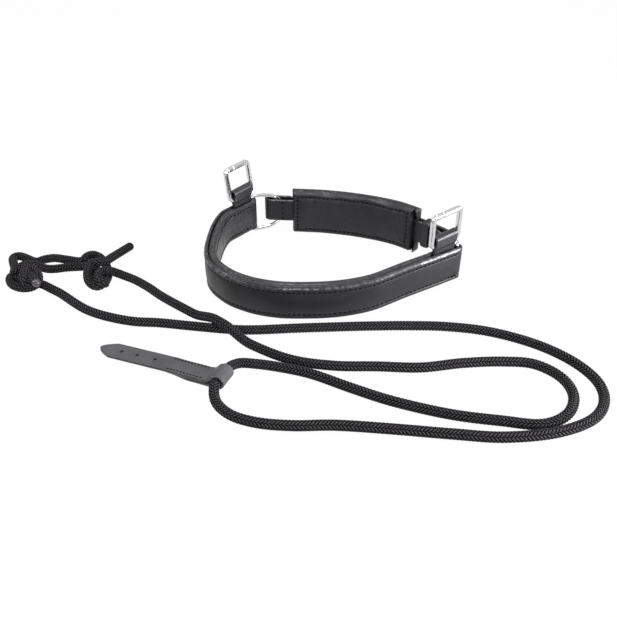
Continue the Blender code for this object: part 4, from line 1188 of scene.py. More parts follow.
@dataclass
class NoseStrap:
    """Outer leather, its padded lining and the line that both follow."""

    shop: Workshop
    width: float = 0.036
    thick: float = 0.0033
    edge_round: float = 0.0014
    ring_wire: float = 0.0040
    gap: float = 0.0003
    straight: float = 0.040
    lift_run: float = 0.070
    fold_return: float = 0.004
    chape_leather: float = 0.0020
    top_row: float = 0.0293
    low_row: float = 0.0048
    row_inset: float = 0.0058
    tack: float = 0.0045
    tack_rise: float = 0.0016
    tack_shift: float = 0.0010
    groove: float = 0.0006
    groove_width: float = 0.0018
    dome: float = 0.0008
    roll: float = 0.0010
    roll_down: float = 0.0036
    roll_width: float = 0.0048
    low_roll: float = 0.0004
    low_roll_up: float = 0.0020
    low_roll_width: float = 0.0030
    lean: float = 0.0009
    lean_height: float = 0.0055
    # Place and width of the painted highlight along the outer face's upper crest
    crest_down: float = 0.0024
    crest_width: float = 0.0019
    waves: float = 0.00025
    form_lead: float = 0.004
    form_run: float = 0.010
    pocket_run: float = 0.004
    lining_rows: tuple[float, float] = (0.0300, 0.0055)
    lining_inset: float = 0.004
    lining_taper: float = 0.008
    lining_round: float = 0.0030
    lining_lip: float = 0.0008
    lining_swell: float = 0.0004
    lining_slope: float = 0.0012
    lining_groove: float = 0.0006
    lining_groove_width: float = 0.0030
    lining_dome: float = 0.0008
    wrinkles: float = 0.0016
    wrinkle_fade: float = 0.006
    step: float = 0.0020
    outer_step: float = 0.0012
    lining_step: float = 0.0018
    curve: tuple[tuple[float, float], ...] = (
        (-0.1217, 0.0060), (-0.1192, -0.0390), (-0.1007, -0.0660), (-0.0772, -0.0815), (-0.0507, -0.0892),
        (-0.0194, -0.0900), (0.0058, -0.0870), (0.0330, -0.0782), (0.0598, -0.0640))

    def __post_init__(self) -> None:
        """Work out the run through the middle of the band."""
        self.end_lift = self.ring_wire + self.gap
        self.half_band = self.thick + self.gap + self.ring_wire / 2
        self.fold_radius = self.ring_wire / 2 + self.gap + self.thick / 2
        left_start = LEFT.bar - LEFT.along * self.straight
        right_start = RIGHT.bar - RIGHT.along * self.straight
        steer = [LEFT.bar, left_start] + [at(x, y) for x, y in self.curve] + [right_start, RIGHT.bar]
        shares = spread(0.0, 1.0, 20)
        left = [LEFT.bar.lerp(left_start, share) for share in shares[:-1]]
        right = [right_start.lerp(RIGHT.bar, share) for share in shares[1:]]
        flat = Run(left + Run.through(steer, self.step).points + right, self.step)
        points = []
        for d, point in zip(flat.distances, flat.points):
            from_end = min(d, flat.length - d)
            height = self.end_lift * (1 - eased((from_end - self.straight) / self.lift_run))
            points.append(Vector((point.x, point.y, height)))
        self.run = Run(points, self.step)

    def build(self) -> None:
        """Make the outer leather, the lining and their stitches."""
        self._outer()
        self._lining()

    def _face(self, z: float) -> float:
        """How far the outer face stands out of its flat.

        Args:
            z: Height on the face.

        Returns:
            Its dome and rolled edges, less the rows' grooves and the lean at the top.
        """
        middle = (self.top_row + self.low_row) / 2
        half = (self.top_row - self.low_row) / 2
        dome = self.dome * max(0.0, 1 - ((z - middle) / half) ** 2) ** 0.8
        rows = self.groove * sum(bump(z, row, self.groove_width) for row in (self.top_row, self.low_row))
        rolls = self.roll * bump(z, self.width - self.roll_down, self.roll_width)
        rolls += self.low_roll * bump(z, self.low_roll_up, self.low_roll_width)
        lean = self.lean * max(0.0, 1 - (self.width - z) / self.lean_height) ** 2
        return dome + rolls - rows - lean

    def _outline(self) -> Outline:
        """Cross-section of the outer leather.

        Returns:
            The outline, with its face away from the horse at positive numbers.
        """
        half = self.thick / 2
        flat = rounded_outline(-half, half, 0.0, self.width, self.edge_round, 5, 1, 34)
        return [(a + self._face(z) * min(1.0, a / half) if a > 0 else a, z) for a, z in flat]

    def _outer(self) -> None:
        """Outer leather that turns round both rings' bars and comes back inside."""
        radius, run = self.fold_radius, self.run
        high = UP * self.end_lift
        points = [LEFT.place(self.fold_return, -radius, self.end_lift)]
        points += half_turn(LEFT.bar + high, -LEFT.out * radius, LEFT.along * radius)
        points += [run.at(d) + run.side(d) * radius for d in run.distances[1:-1]]
        points += half_turn(RIGHT.bar + high, RIGHT.out * radius, RIGHT.along * radius)
        points.append(RIGHT.place(self.fold_return, -radius, self.end_lift))
        path = Run(points, self.outer_step)
        outline = self._outline()
        first = self.fold_return + math.pi * radius
        flat = self.thick / 2
        stations = []
        for d in path.distances:
            share = eased((min(d, path.length - d) - first + self.form_lead) / self.form_run)
            wave = ripple(self.waves, d * 60, 0.3) * share
            shape = [(min(a, flat) + max(a - flat, 0.0) * share + wave, z) for a, z in outline]
            stations.append(path.station(d, shape))
        solid = Solid("nose_strap_leather")
        solid.sweep(stations, edge=self._edge_mask)
        ride(solid.finish(self.shop.finishes.strap), Body.ROOT, Slot.BRIDLE_LEATHER, "nose_strap")
        inset = first + self.row_inset
        places = even(inset, path.length - inset, ROW_STEP)
        for row in (self.top_row, self.low_row):
            reach = flat + self._face(row) + ROW_LIFT
            self.shop.stitching.beside(Body.ROOT, path, [(d, reach, row) for d in places])
        for centre in (inset - self.tack_shift, path.length - inset + self.tack_shift):
            self._tack(path, centre)

    def _tack(self, path: Run, centre: float) -> None:
        """Small crossed tack where the lower row ends.

        Args:
            path: The outer leather's middle line.
            centre: Distance along it to the tack's middle.
        """
        reach = self.thick / 2 + 2 * ROW_LIFT
        height = self.low_row + self.tack_rise
        for slope in (-1.0, 1.0):
            marks = [(centre + part, reach, height + slope * part)
                     for part in spread(-self.tack / 2, self.tack / 2, 2)]
            self.shop.stitching.beside(Body.ROOT, path, marks, stitch=FINE_STITCH)

    def _edge_mask(self, a: float, z: float) -> float:
        """Mask of the strap's edges, partly edge wear and partly painted highlight, and of the painted
        highlight along its upper crest.
        """
        crest_highlight = bump(z, self.width - self.crest_down, self.crest_width) * (0.85 if a > 0 else 0.255)
        return wear_and_painted_light(z, reach=0.0022, amount=0.20) + wear_and_painted_light(self.width - z, reach=0.0018, amount=0.22) + crest_highlight

    def _lining(self) -> None:
        """Padded lining with a rolled top, thinner beside the chapes."""
        run = self.run
        begin = self.fold_return + self.gap
        stop = run.length - begin
        reach = LEFT.chape_width / 2 + self.gap
        left_pocket = LEFT.chape_centre + reach
        right_pocket = run.length - RIGHT.chape_centre - reach
        pocket = self.chape_leather + self.gap
        stations = []
        for d in even(begin, stop, self.lining_step):
            share = eased((d - left_pocket) / self.pocket_run) * eased((right_pocket - d) / self.pocket_run)
            mouth = (self.ring_wire / 2 + pocket) * share - pocket
            full = eased(min(d - begin, stop - d) / self.lining_taper)
            stations.append(run.station(d, self._lining_outline(d, mouth, full)))
        solid = Solid("nose_strap_lining")
        # Lighter top edge under the edge mask: partly edge wear and partly painted highlight
        solid.sweep(stations, edge=lambda a, z: wear_and_painted_light(abs(z - self.width), reach=0.003, amount=0.22))
        obj = solid.finish(self.shop.finishes.lining)
        ride(obj, Body.ROOT, Slot.LINING_LEATHER, "nose_lining", "nose_filler")
        places = even(begin + self.lining_inset, stop - self.lining_inset, ROW_STEP)
        for row in self.lining_rows:
            marks = [(d, self._lining_back(d, row, 1.0) - ROW_LIFT, row) for d in places]
            self.shop.stitching.beside(Body.ROOT, run, marks, facing=-1.0)

    def _lining_back(self, d: float, z: float, full: float) -> float:
        """Depth of the lining's face towards the horse.

        Args:
            d: Distance along the band.
            z: Height on the face.
            full: Share of its form that it has there.

        Returns:
            Distance from the band's middle, below zero.
        """
        rows = self.lining_groove * sum(bump(z, row, self.lining_groove_width) for row in self.lining_rows)
        dome = self.lining_dome * max(0.0, 1 - ((z - self.width / 2) / (self.width / 2)) ** 2)
        crease = ripple(0.5, d * 170, z * 45, 3.1) + ripple(0.25, d * 420, z * 120, 9.7)
        fade = eased(z / self.wrinkle_fade) * eased((self.width - z) / self.wrinkle_fade)
        return -self.half_band + (rows - dome - self.wrinkles * crease * fade) * full

    def _lining_outline(self, d: float, mouth: float, full: float) -> Outline:
        """Cross-section of the padded lining.

        Args:
            d: Distance along the band.
            mouth: How far its face towards the strap lies from the band's middle.
            full: Share of its form that it has there.

        Returns:
            The outline.
        """
        back, radius = -self.half_band, self.lining_round
        outline: Outline = [(mouth, self.lining_lip)]
        outline += [(a, 0.0) for a in spread(mouth, back + radius, 3)[1:-1]]
        outline += arc((back + radius, radius), radius, 270, 180, 5)
        outline += [(self._lining_back(d, z, full), z) for z in spread(radius, self.width - radius, 26)[1:-1]]
        wide = mouth - back
        for share in spread(0.0, 1.0, 8):
            a = back + wide / 2 - wide / 2 * math.cos(math.pi * share)
            rise = (self.lining_swell + radius) * math.sin(math.pi * share) ** 0.62
            outline.append((a, self.width - radius + rise - self.lining_slope * share))
        return outline + [(mouth, self.width * share) for share in (0.70, 0.40, 0.15)]


def wire(name: str, points: Sequence[Vector], radius: Callable[[int], float], material: Material,
         normal: Vector, sides: int = 16, square: float = 0.0, closed: bool = True) -> Object:
    """Metal wire along points that lie in one plane.

    Args:
        name: Name of the piece.
        points: The wire's middle line.
        radius: Half its size at each point.
        material: Its finish.
        normal: The plane's normal.
        sides: Points round the wire.
        square: 0 for a round wire, up to 1 for a squared one.
        closed: Whether it is a closed loop.

    Returns:
        The wire's object.
    """
    stations = []
    count = len(points)
    travelled = 0.0
    power = 1.0 - 0.72 * square
    angles = [2 * math.pi * (k + 0.5) / sides for k in range(sides)]
    section = [(signed(math.cos(a), power), signed(math.sin(a), power)) for a in angles]
    for i, point in enumerate(points):
        ahead = points[(i + 1) % count] if closed else points[min(i + 1, count - 1)]
        behind = points[i - 1] if closed or i else points[0]
        side = (ahead - behind).normalized().cross(normal).normalized()
        if i:
            travelled += (point - points[i - 1]).length
        outline = [(radius(i) * a, radius(i) * z) for a, z in section]
        stations.append(Station(point, side, normal, outline, travelled))
    solid = Solid(name)
    solid.sweep(stations, closed=closed)
    return solid.finish(material, sharp=60.0)


@dataclass
class Ring:
    """D ring on one end of the nose strap."""

    shop: Workshop
    end: StrapEnd
    body: Body
    turn: float
    wire_size: float = 0.0040
    depth: float = 0.0350
    height: float = 0.0406
    corner: float = 0.0030
    squareness: float = 2.8
    step: float = 0.0016

    def build(self) -> None:
        """Make the ring."""
        half, corner = self.height / 2, self.corner
        bend = arc((corner, half - corner), corner, 180, 90, 6)
        outline: Outline = [(0.0, z) for z in spread(-0.8 * half, 0.8 * half, 6)[1:-1]] + bend
        power = 2 / self.squareness
        for angle in spread(math.pi / 2, -math.pi / 2, 48)[1:-1]:
            reach = abs(math.cos(angle)) ** power
            outline.append((corner + (self.depth - corner) * reach, half * signed(math.sin(angle), power)))
        outline += [(x, -z) for x, z in reversed(bend)]
        direction = heading(self.turn)
        middle = self.end.bar + UP * (self.wire_size / 2 + half)
        points = [middle + direction * x + UP * z for x, z in outline]
        run = Run(points + [points[0]], self.step)
        obj = wire(self.end.name + "_ring_wire", run.points[:-1], lambda i: self.wire_size / 2,
                   self.shop.finishes.metal, right_of(direction), sides=18)
        ride(obj, self.body, Slot.METAL, self.end.name + "_ring")


@dataclass
class LoopFitting:
    """Folded chape with its square loop and roller."""

    shop: Workshop
    end: StrapEnd
    loop_body: Body
    roller_body: Body
    strap_top: float = 0.0403
    pitch: float = 0.0330
    height: float = 0.0330
    corner: float = 0.0034
    bar: float = 0.0045
    pin: float = 0.0042
    roller_pin: float = 0.0036
    roller_size: float = 0.0056
    roller_edge: float = 0.0004
    roller_lip: float = 0.0003
    roller_open: float = 0.10
    seat: float = 0.0093
    leather: float = 0.0020
    leather_round: float = 0.0007
    flare: float = 0.02
    flare_run: float = 0.012
    tilt_run: float = 0.006
    neck_start: float = 0.002
    depth: float = 0.024
    rise: float = 0.0200
    neck: float = 0.0045
    gap: float = 0.0003
    seam_share: float = 0.27
    seam_depth: float = 0.0006
    seam_width: float = 0.0011
    chape_step: float = 0.0007
    loop_step: float = 0.0011

    def build(self) -> None:
        """Make the chape, the loop and the roller."""
        self._chape()
        self._loop()
        self._roller()

    def _axes(self) -> tuple[Vector, Vector, Vector, Vector]:
        """How the square loop stands.

        Returns:
            Middle of the lower bar, its direction, the way up the loop and the way out of it.
        """
        end = self.end
        bar = end.along * math.cos(end.tilt) + UP * math.sin(end.tilt)
        up = end.out.cross(bar)
        if up.z < 0:
            up = -up
        leaned = up * math.cos(end.lean) + end.out * math.sin(end.lean)
        normal = end.out * math.cos(end.lean) - up * math.sin(end.lean)
        return end.place(end.chape_centre, 0.0, self.strap_top + self.seat + self.gap), bar, leaned, normal

    def _chape(self) -> None:
        """One strip folded over the lower bar and sewn between the strap's layers."""
        end = self.end
        inner = self.pin / 2 + self.gap
        outer = inner + self.leather
        top = self.strap_top + self.rise - outer
        low = self.strap_top + self.seat
        neck = self.strap_top + self.neck
        bottom = self.strap_top - self.depth
        half = end.chape_width / 2
        slit = self.gap / 2
        skin = [(-self.leather, bottom), (-self.leather, self.strap_top - self.neck_start),
                (-self.leather, neck), (-outer * 0.82, (neck + low) / 2), (-outer, low),
                (-outer, (low + top) / 2)]
        hole = [(-slit, bottom), (-slit, neck), (-inner * 0.9, low), (-inner, (low + top) / 2)]
        outside = Run.drawn(skin + arc((0.0, top), outer, 180, 0, 16) + [(-a, z) for a, z in reversed(skin)],
                            self.chape_step)
        inside = Run.drawn(hole + arc((0.0, top), inner, 180, 0, 12) + [(-a, z) for a, z in reversed(hole)],
                           self.chape_step)
        stations = []
        for i, (d, point) in enumerate(zip(outside.distances, outside.points)):
            below = inside.at(inside.length * i / outside.count)
            centre, across = (point + below) / 2, point - below
            thick = across.length / 2
            above = centre.y - self.strap_top
            flare = 1.0 + self.flare * eased(above / self.flare_run)
            corner = min(self.leather_round, thick * 0.8)
            section = rounded_outline(-half, half, -thick, thick, corner, 3, 22, 1)
            outline = [(a * flare, z) for a, z in section]
            slope = math.tan(end.tilt) * eased(above / self.tilt_run)
            up = (end.out * across.x + UP * across.y).normalized()
            origin = end.place(end.chape_centre, centre.x, centre.y)
            stations.append(Station(origin, end.along + UP * slope, up, outline, d))
        solid = Solid(end.name + "_chape_leather")
        # Lighter sides under the edge mask: partly edge wear and partly painted highlight
        solid.sweep(stations, edge=lambda a, z: wear_and_painted_light(half - abs(a), reach=0.0014, amount=0.35))
        ride(solid.finish(self.shop.finishes.chape), Body.ROOT, Slot.BRIDLE_LEATHER, end.name + "_chape")

    def _loop(self) -> None:
        """Square frame with round corners, thinner where it carries the chape and the roller."""
        middle, bar, up, normal = self._axes()
        half = self.pitch / 2
        flat = rounded_outline(-half, half, 0.0, self.height, self.corner, 6, 18, 18)
        run = Run.drawn(flat, self.loop_step, closed=True)
        sizes = []
        for p in run.points[:-1]:
            beside = eased((abs(p.x) - (half - self.bar * 0.9)) / (self.bar * 0.45))
            thin = self.pin if p.y < self.height / 2 else self.roller_pin
            sizes.append((thin + (self.bar - thin) * beside) / 2)
        obj = wire(self.end.name + "_loop_frame", [middle + bar * p.x + up * p.y for p in run.points[:-1]],
                   lambda i: sizes[i], self.shop.finishes.metal, normal, sides=20, square=0.72)
        ride(obj, self.loop_body, Slot.METAL, self.end.name + "_loop")

    def _roller(self) -> None:
        """Rolled tube with its seam and a turned-in lip at each end."""
        middle, bar, up, normal = self._axes()
        centre = middle + up * self.height
        reach = self.pitch / 2 - self.bar / 2 - self.gap
        outer = self.roller_size / 2
        inner = self.roller_pin / 2 + self.gap
        lip, flat = outer - self.roller_lip, reach - self.roller_edge
        seam = reach * (2 * self.seam_share - 1)
        wall = [(-reach, inner), (-reach, lip), (-flat, outer)]
        wall += [(a, outer - self.seam_depth * bump(a, seam, self.seam_width))
                 for a in spread(-flat, flat, 60)[1:-1]]
        wall += [(flat, outer), (reach, lip), (reach, inner), (0.0, inner)]
        stations = [Station(centre, bar, -up * math.cos(a) + normal * math.sin(a), wall, outer * a)
                    for a in spread(self.roller_open, 2 * math.pi - self.roller_open, 40)]
        solid = Solid(self.end.name + "_roller_tube")
        solid.sweep(stations)
        obj = solid.finish(self.shop.finishes.metal, sharp=40.0)
        ride(obj, self.roller_body, Slot.METAL, self.end.name + "_roller")


@dataclass
class ChinLine:
    """Line of the chin strap's inner run and the places on its outer side."""

    step: float = 0.0015
    curve: tuple[tuple[float, float], ...] = (
        (-0.0581, 0.0827), (-0.0362, 0.0810), (-0.0042, 0.0775), (0.0358, 0.0670), (0.0708, 0.0510),
        (0.0938, 0.0320), (0.1058, 0.0190), (0.1123, 0.0048))
    start_heading: float = math.radians(-4)
    finish_heading: float = math.radians(-68)
    steer: float = 0.012

    def __post_init__(self) -> None:
        """Work out the run."""
        points = [at(x, y) for x, y in self.curve]
        before = points[0] - heading(self.start_heading) * self.steer
        after = points[-1] + heading(self.finish_heading) * self.steer
        self.run = Run.through([before] + points + [after], self.step)

    def beside(self, distance: float, out: float) -> Vector:
        """Point on the outer side of the run, out from its middle line."""
        return self.run.at(distance) - self.run.side(distance) * out


def profile(marks: Sequence[tuple[float, float]], distance: float) -> float:
    """Smooth value between marks.

    Args:
        marks: Distance and value of each mark, in rising order.
        distance: Where the value is wanted.

    Returns:
        The value.
    """
    for (d0, v0), (d1, v1) in zip(marks, marks[1:]):
        if distance <= d1:
            return v0 + (v1 - v0) * eased((distance - d0) / (d1 - d0))
    return marks[-1][1]


@dataclass
class ChinStrap:
    """Strap that turns through both rings and closes on the sleeve's outer side."""

    shop: Workshop
    line: ChinLine
    width: float = 0.025
    thick: float = 0.0030
    edge_round: float = 0.0010
    waves: float = 0.0002
    bottom: float = 0.0115
    gap: float = 0.0003
    loop_gap: float = 0.0080
    left_reach: float = 0.0085
    right_reach: float = 0.0035
    left_return: float = 0.036
    cover: float = 0.0022
    buckle_wire: float = 0.0035
    tongue_wire: float = 0.0026
    tongue_over: float = 0.0022
    tongue_bow: float = 0.0002
    buckle_front: float = 0.150
    buckle_pitch: float = 0.022
    buckle_room: float = 0.0020
    buckle_corner: float = 0.0030
    chape_leather: float = 0.0018
    chape_length: float = 0.016
    chape_slot: float = 0.0024
    pinch_in: float = 0.0036
    pinch_out: float = 0.0032
    chape_ease: float = 0.0075
    keeper_thick: float = 0.0018
    keeper_width: float = 0.009
    keeper_crown: float = 0.0007
    keeper_corner: float = 0.0017
    right_keeper: float = 0.173
    left_keeper: float = 0.087
    tip_at: float = 0.060
    tip_length: float = 0.016
    pad_end: float = 0.158
    seam_at: float = 0.0135
    seam_inset: float = 0.003
    holes: tuple[float, ...] = (0.073, 0.098, 0.112)
    hole_size: float = 0.0045
    closest: float = 0.0003
    punch_length: float = 0.012
    step: float = 0.0014
    fine_step: float = 0.0012

    def __post_init__(self) -> None:
        """Work out how far each layer lies from the run's middle line."""
        half = self.thick / 2
        self.cover_face = half + self.gap + self.cover
        self.flat = self.cover_face + self.gap + half
        self.right_lift = self.flat + 0.0004
        self.buckle_out = self.flat + half + self.gap + self.buckle_wire / 2
        self.heel = self.buckle_front - self.buckle_pitch
        self.tongue_wrap = self.buckle_wire / 2 + self.gap + self.tongue_wire / 2
        self.over_heel = self.buckle_out + self.tongue_wrap + self.tongue_wire / 2 + self.gap + half + 0.0002
        self.chape_base = self.cover_face + self.gap + self.chape_leather / 2
        self.chape_upper = self.chape_base + self.chape_leather + self.gap
        self.over_chape = self.chape_upper + self.chape_leather / 2 + self.gap + half
        self.in_keeper = self.cover_face + self.gap + self.keeper_thick + self.gap + half
        self.middle = self.bottom + self.width / 2

    def build(self) -> None:
        """Make the strap, its buckle and its keepers."""
        self._strap()
        self._buckle()
        self._buckle_chape()
        self._tongue()
        beside = self.thick / 2 + self.gap
        self._keeper("chin_keeper_right", self.right_keeper, -beside, self.right_lift + beside)
        self._keeper("chin_keeper_left", self.left_keeper, self.in_keeper - beside, self.in_keeper + beside)

    def _path(self) -> tuple[list[Vector], float]:
        """The strap's middle line.

        Returns:
            Its points, and the distance along it to where the inner run starts.
        """
        run, line, heel = self.line.run, self.line, self.heel
        total = run.length
        opening = self.loop_gap + self.thick
        marks = [(0.0, opening), (0.010, opening), (0.022, self.flat), (self.left_return, self.flat)]
        path = [line.beside(s, profile(marks, s)) for s in spread(self.left_return, 0.0, 24)]
        turns = []
        for d, sign, reach in ((0.0, -1, self.left_reach), (total, 1, self.right_reach)):
            away = run.plan_direction(d) * sign
            out = -run.side(d) * (opening / 2)
            turns.append(half_turn(run.at(d) + out + away * reach, -out * sign, away * (opening / 2)))
        path += turns[0]
        before = sum((b - a).length for a, b in zip(path, path[1:]))
        marks = [(self.tip_at, self.in_keeper - 0.0010), (self.left_keeper - 0.008, self.in_keeper),
                 (self.left_keeper + 0.006, self.in_keeper),
                 (heel - 0.026, self.over_chape), (heel - 0.018, self.over_chape),
                 (heel - 0.003, self.over_heel), (heel + 0.002, self.over_heel),
                 (self.buckle_front - 0.0028, self.flat), (self.pad_end, self.flat),
                 (self.right_keeper + 0.006, self.right_lift), (total, opening)]
        path += run.points + turns[1]
        path += [line.beside(s, profile(marks, s)) for s in spread(total, self.tip_at, 120)]
        kept = [path[0]]
        for point in path[1:]:
            if (point - kept[-1]).length > self.closest:
                kept.append(point)
        return kept, before

    def _strap(self) -> None:
        """One strip: sewn return, left loop, inner run, right loop, and the billet with its tip."""
        points, inner_start = self._path()
        path = Run(points, self.step)
        half = self.thick / 2
        stations = []
        for d in path.distances:
            wide = self.width / 2
            left_over = path.length - d
            if left_over < self.tip_length:
                wide *= 0.30 + 0.70 * math.sqrt(1 - (1 - left_over / self.tip_length) ** 2)
            low, high = self.middle - wide, self.middle + wide
            outline = rounded_outline(-half, half, low, high, self.edge_round, 4, 1, 16)
            wave = ripple(self.waves, d * 80, 5.0, 1.0)
            stations.append(path.station(d, [(a + wave, z) for a, z in outline]))
        solid = Solid("chin_strap_leather")
        # Lighter edges under the edge mask: partly edge wear and partly painted highlight
        solid.sweep(stations, edge=lambda a, z: wear_and_painted_light(self.width / 2 - abs(z - self.middle),
                                                     reach=0.0016, amount=0.7))
        obj = solid.finish(self.shop.finishes.strap)
        punch(obj, [self._hole(place) for place in self.holes], self.hole_size, self.punch_length)
        ride(obj, Body.CHIN, Slot.BRIDLE_LEATHER, "chin_strap")
        seam, low = inner_start + self.seam_at, self.bottom + self.seam_inset
        heights = spread(low, low + self.width - 2 * self.seam_inset, 8)
        self.shop.stitching.beside(Body.CHIN, path, [(seam, half + ROW_LIFT, z) for z in heights])

    def _hole(self, place: float) -> Matrix:
        """Where a hole goes through the billet.

        Args:
            place: Distance along the run.

        Returns:
            The hole's middle, with its axis along Z.
        """
        base = self.line.beside(place, 0.0)
        out = (self.line.beside(place, 0.01) - base).normalized()
        centre = base + UP * self.middle + out * (self.over_heel * 0.5 + self.cover_face * 0.5 + 0.002)
        return Matrix.Translation(centre) @ out.to_track_quat("Z", "Y").to_matrix().to_4x4()

    def _frame(self) -> tuple[Vector, Vector, Vector, Vector]:
        """How the buckle lies.

        Returns:
            Its heel, its front bar, the way ahead and the way out.
        """
        heel = self.line.beside(self.heel, self.buckle_out) + UP * self.middle
        front = self.line.beside(self.buckle_front, self.buckle_out) + UP * self.middle
        ahead = (front - heel).normalized()
        return heel, front, ahead, Vector((-ahead.y, ahead.x, 0.0))

    def _buckle(self) -> None:
        """Wire frame of the chin buckle."""
        heel, front, ahead, out = self._frame()
        half = (self.width + self.buckle_room + self.buckle_wire) / 2
        flat = rounded_outline(0.0, (front - heel).length, -half, half, self.buckle_corner, 6, 14, 14)
        run = Run.drawn(flat, self.fine_step, closed=True)
        points = [heel + ahead * p.x + UP * p.y for p in run.points[:-1]]
        obj = wire("chin_buckle_frame", points, lambda i: self.buckle_wire / 2, self.shop.finishes.metal, out)
        ride(obj, Body.CHIN, Slot.METAL, "chin_buckle")

    def _buckle_chape(self) -> None:
        """Leather folded round the buckle's heel, on both sides of its tongue."""
        heel, _, ahead, out = self._frame()
        line, half = self.line, self.chape_leather / 2
        wrap = self.buckle_wire / 2 + self.gap + half
        back = self.heel - wrap
        points = [line.beside(back - self.chape_length * i / 3, self.chape_base) for i in (3, 2, 1)]
        points.append(line.beside(self.heel - self.pinch_in, self.chape_base + 0.0001))
        points += half_turn(heel - UP * self.middle, -out * wrap, ahead * wrap, 14)
        points += [line.beside(self.heel - self.pinch_out, self.buckle_out + wrap * 0.72),
                   line.beside(self.heel - self.chape_ease, self.chape_upper + 0.0004)]
        points += [line.beside(back - self.chape_length * i / 3, self.chape_upper) for i in (2, 3)]
        path = Run.drawn([(p.x, p.y) for p in points], 0.0010)
        for part, low, high in (("upper", self.middle + self.chape_slot, self.bottom + self.width),
                                ("lower", self.bottom, self.middle - self.chape_slot)):
            outline = rounded_outline(-half, half, low, high, 0.0005, 3, 1, 8)
            solid = Solid("chin_buckle_chape_" + part)
            solid.sweep([path.station(d, outline) for d in path.distances])
            ride(solid.finish(self.shop.finishes.strap), Body.CHIN, Slot.BRIDLE_LEATHER, "chin_buckle_chape")

    def _tongue(self) -> None:
        """Tongue that wraps the heel and lies over the front bar."""
        heel, front, ahead, out = self._frame()
        wrap = self.tongue_wrap
        points = [heel + ahead * x + out * y for x, y in arc((0.0, 0.0), wrap, 350, 90, 20)]
        tip = (front - heel).length + self.buckle_wire / 2 + self.tongue_over
        points += [heel + ahead * tip * share + out * (wrap + self.tongue_bow * math.sin(math.pi * share))
                   for share in (0.2, 0.4, 0.6, 0.8, 0.94, 1.0)]
        run = Run(points, 0.0011)
        first_thin = run.count - 4
        obj = wire("chin_buckle_tongue_wire", run.points,
                   lambda i: self.tongue_wire / 2 * (1 - 0.45 * eased((i - first_thin) / 4)),
                   self.shop.finishes.metal, UP, closed=False)
        ride(obj, Body.TONGUE, Slot.METAL, "chin_buckle_tongue")

    def _keeper(self, name: str, place: float, inner: float, outer: float) -> None:
        """Leather band round the strap.

        Args:
            name: The node that it stands for.
            place: Distance along the run to its middle.
            inner: Depth of its nearer wall on the run's outer side.
            outer: Depth of its farther wall.
        """
        run, wall = self.line.run, self.keeper_thick / 2
        beside = self.gap + wall
        low, high = self.bottom - beside, self.bottom + self.width + beside
        out, along, centre = -run.side(place), run.plan_direction(place), run.at(place)
        centre.z = 0.0
        middle = rounded_outline(inner - wall, outer + wall, low, high, self.keeper_corner, 5, 4, 12)
        band = Run.drawn(middle, self.fine_step, closed=True)
        half = self.keeper_width / 2
        section = [(a, z + (self.keeper_crown * (1 - (a / half) ** 2) if z > 0 else 0.0))
                   for a, z in rounded_outline(-half, half, -wall, wall, 0.0006, 3, 8, 1)]
        stations = []
        for d in band.distances[:-1]:
            point, step = band.at(d), band.direction(d)
            stations.append(Station(centre + out * point.x + UP * point.y, along, out * step.y - UP * step.x,
                                    section, d))
        solid = Solid(name + "_band")
        # Lighter sides under the edge mask: partly edge wear and partly painted highlight
        solid.sweep(stations, closed=True, edge=lambda a, z: wear_and_painted_light(half - abs(a), reach=0.0012, amount=0.2))
        ride(solid.finish(self.shop.finishes.strap), Body.CHIN, Slot.BRIDLE_LEATHER, name)


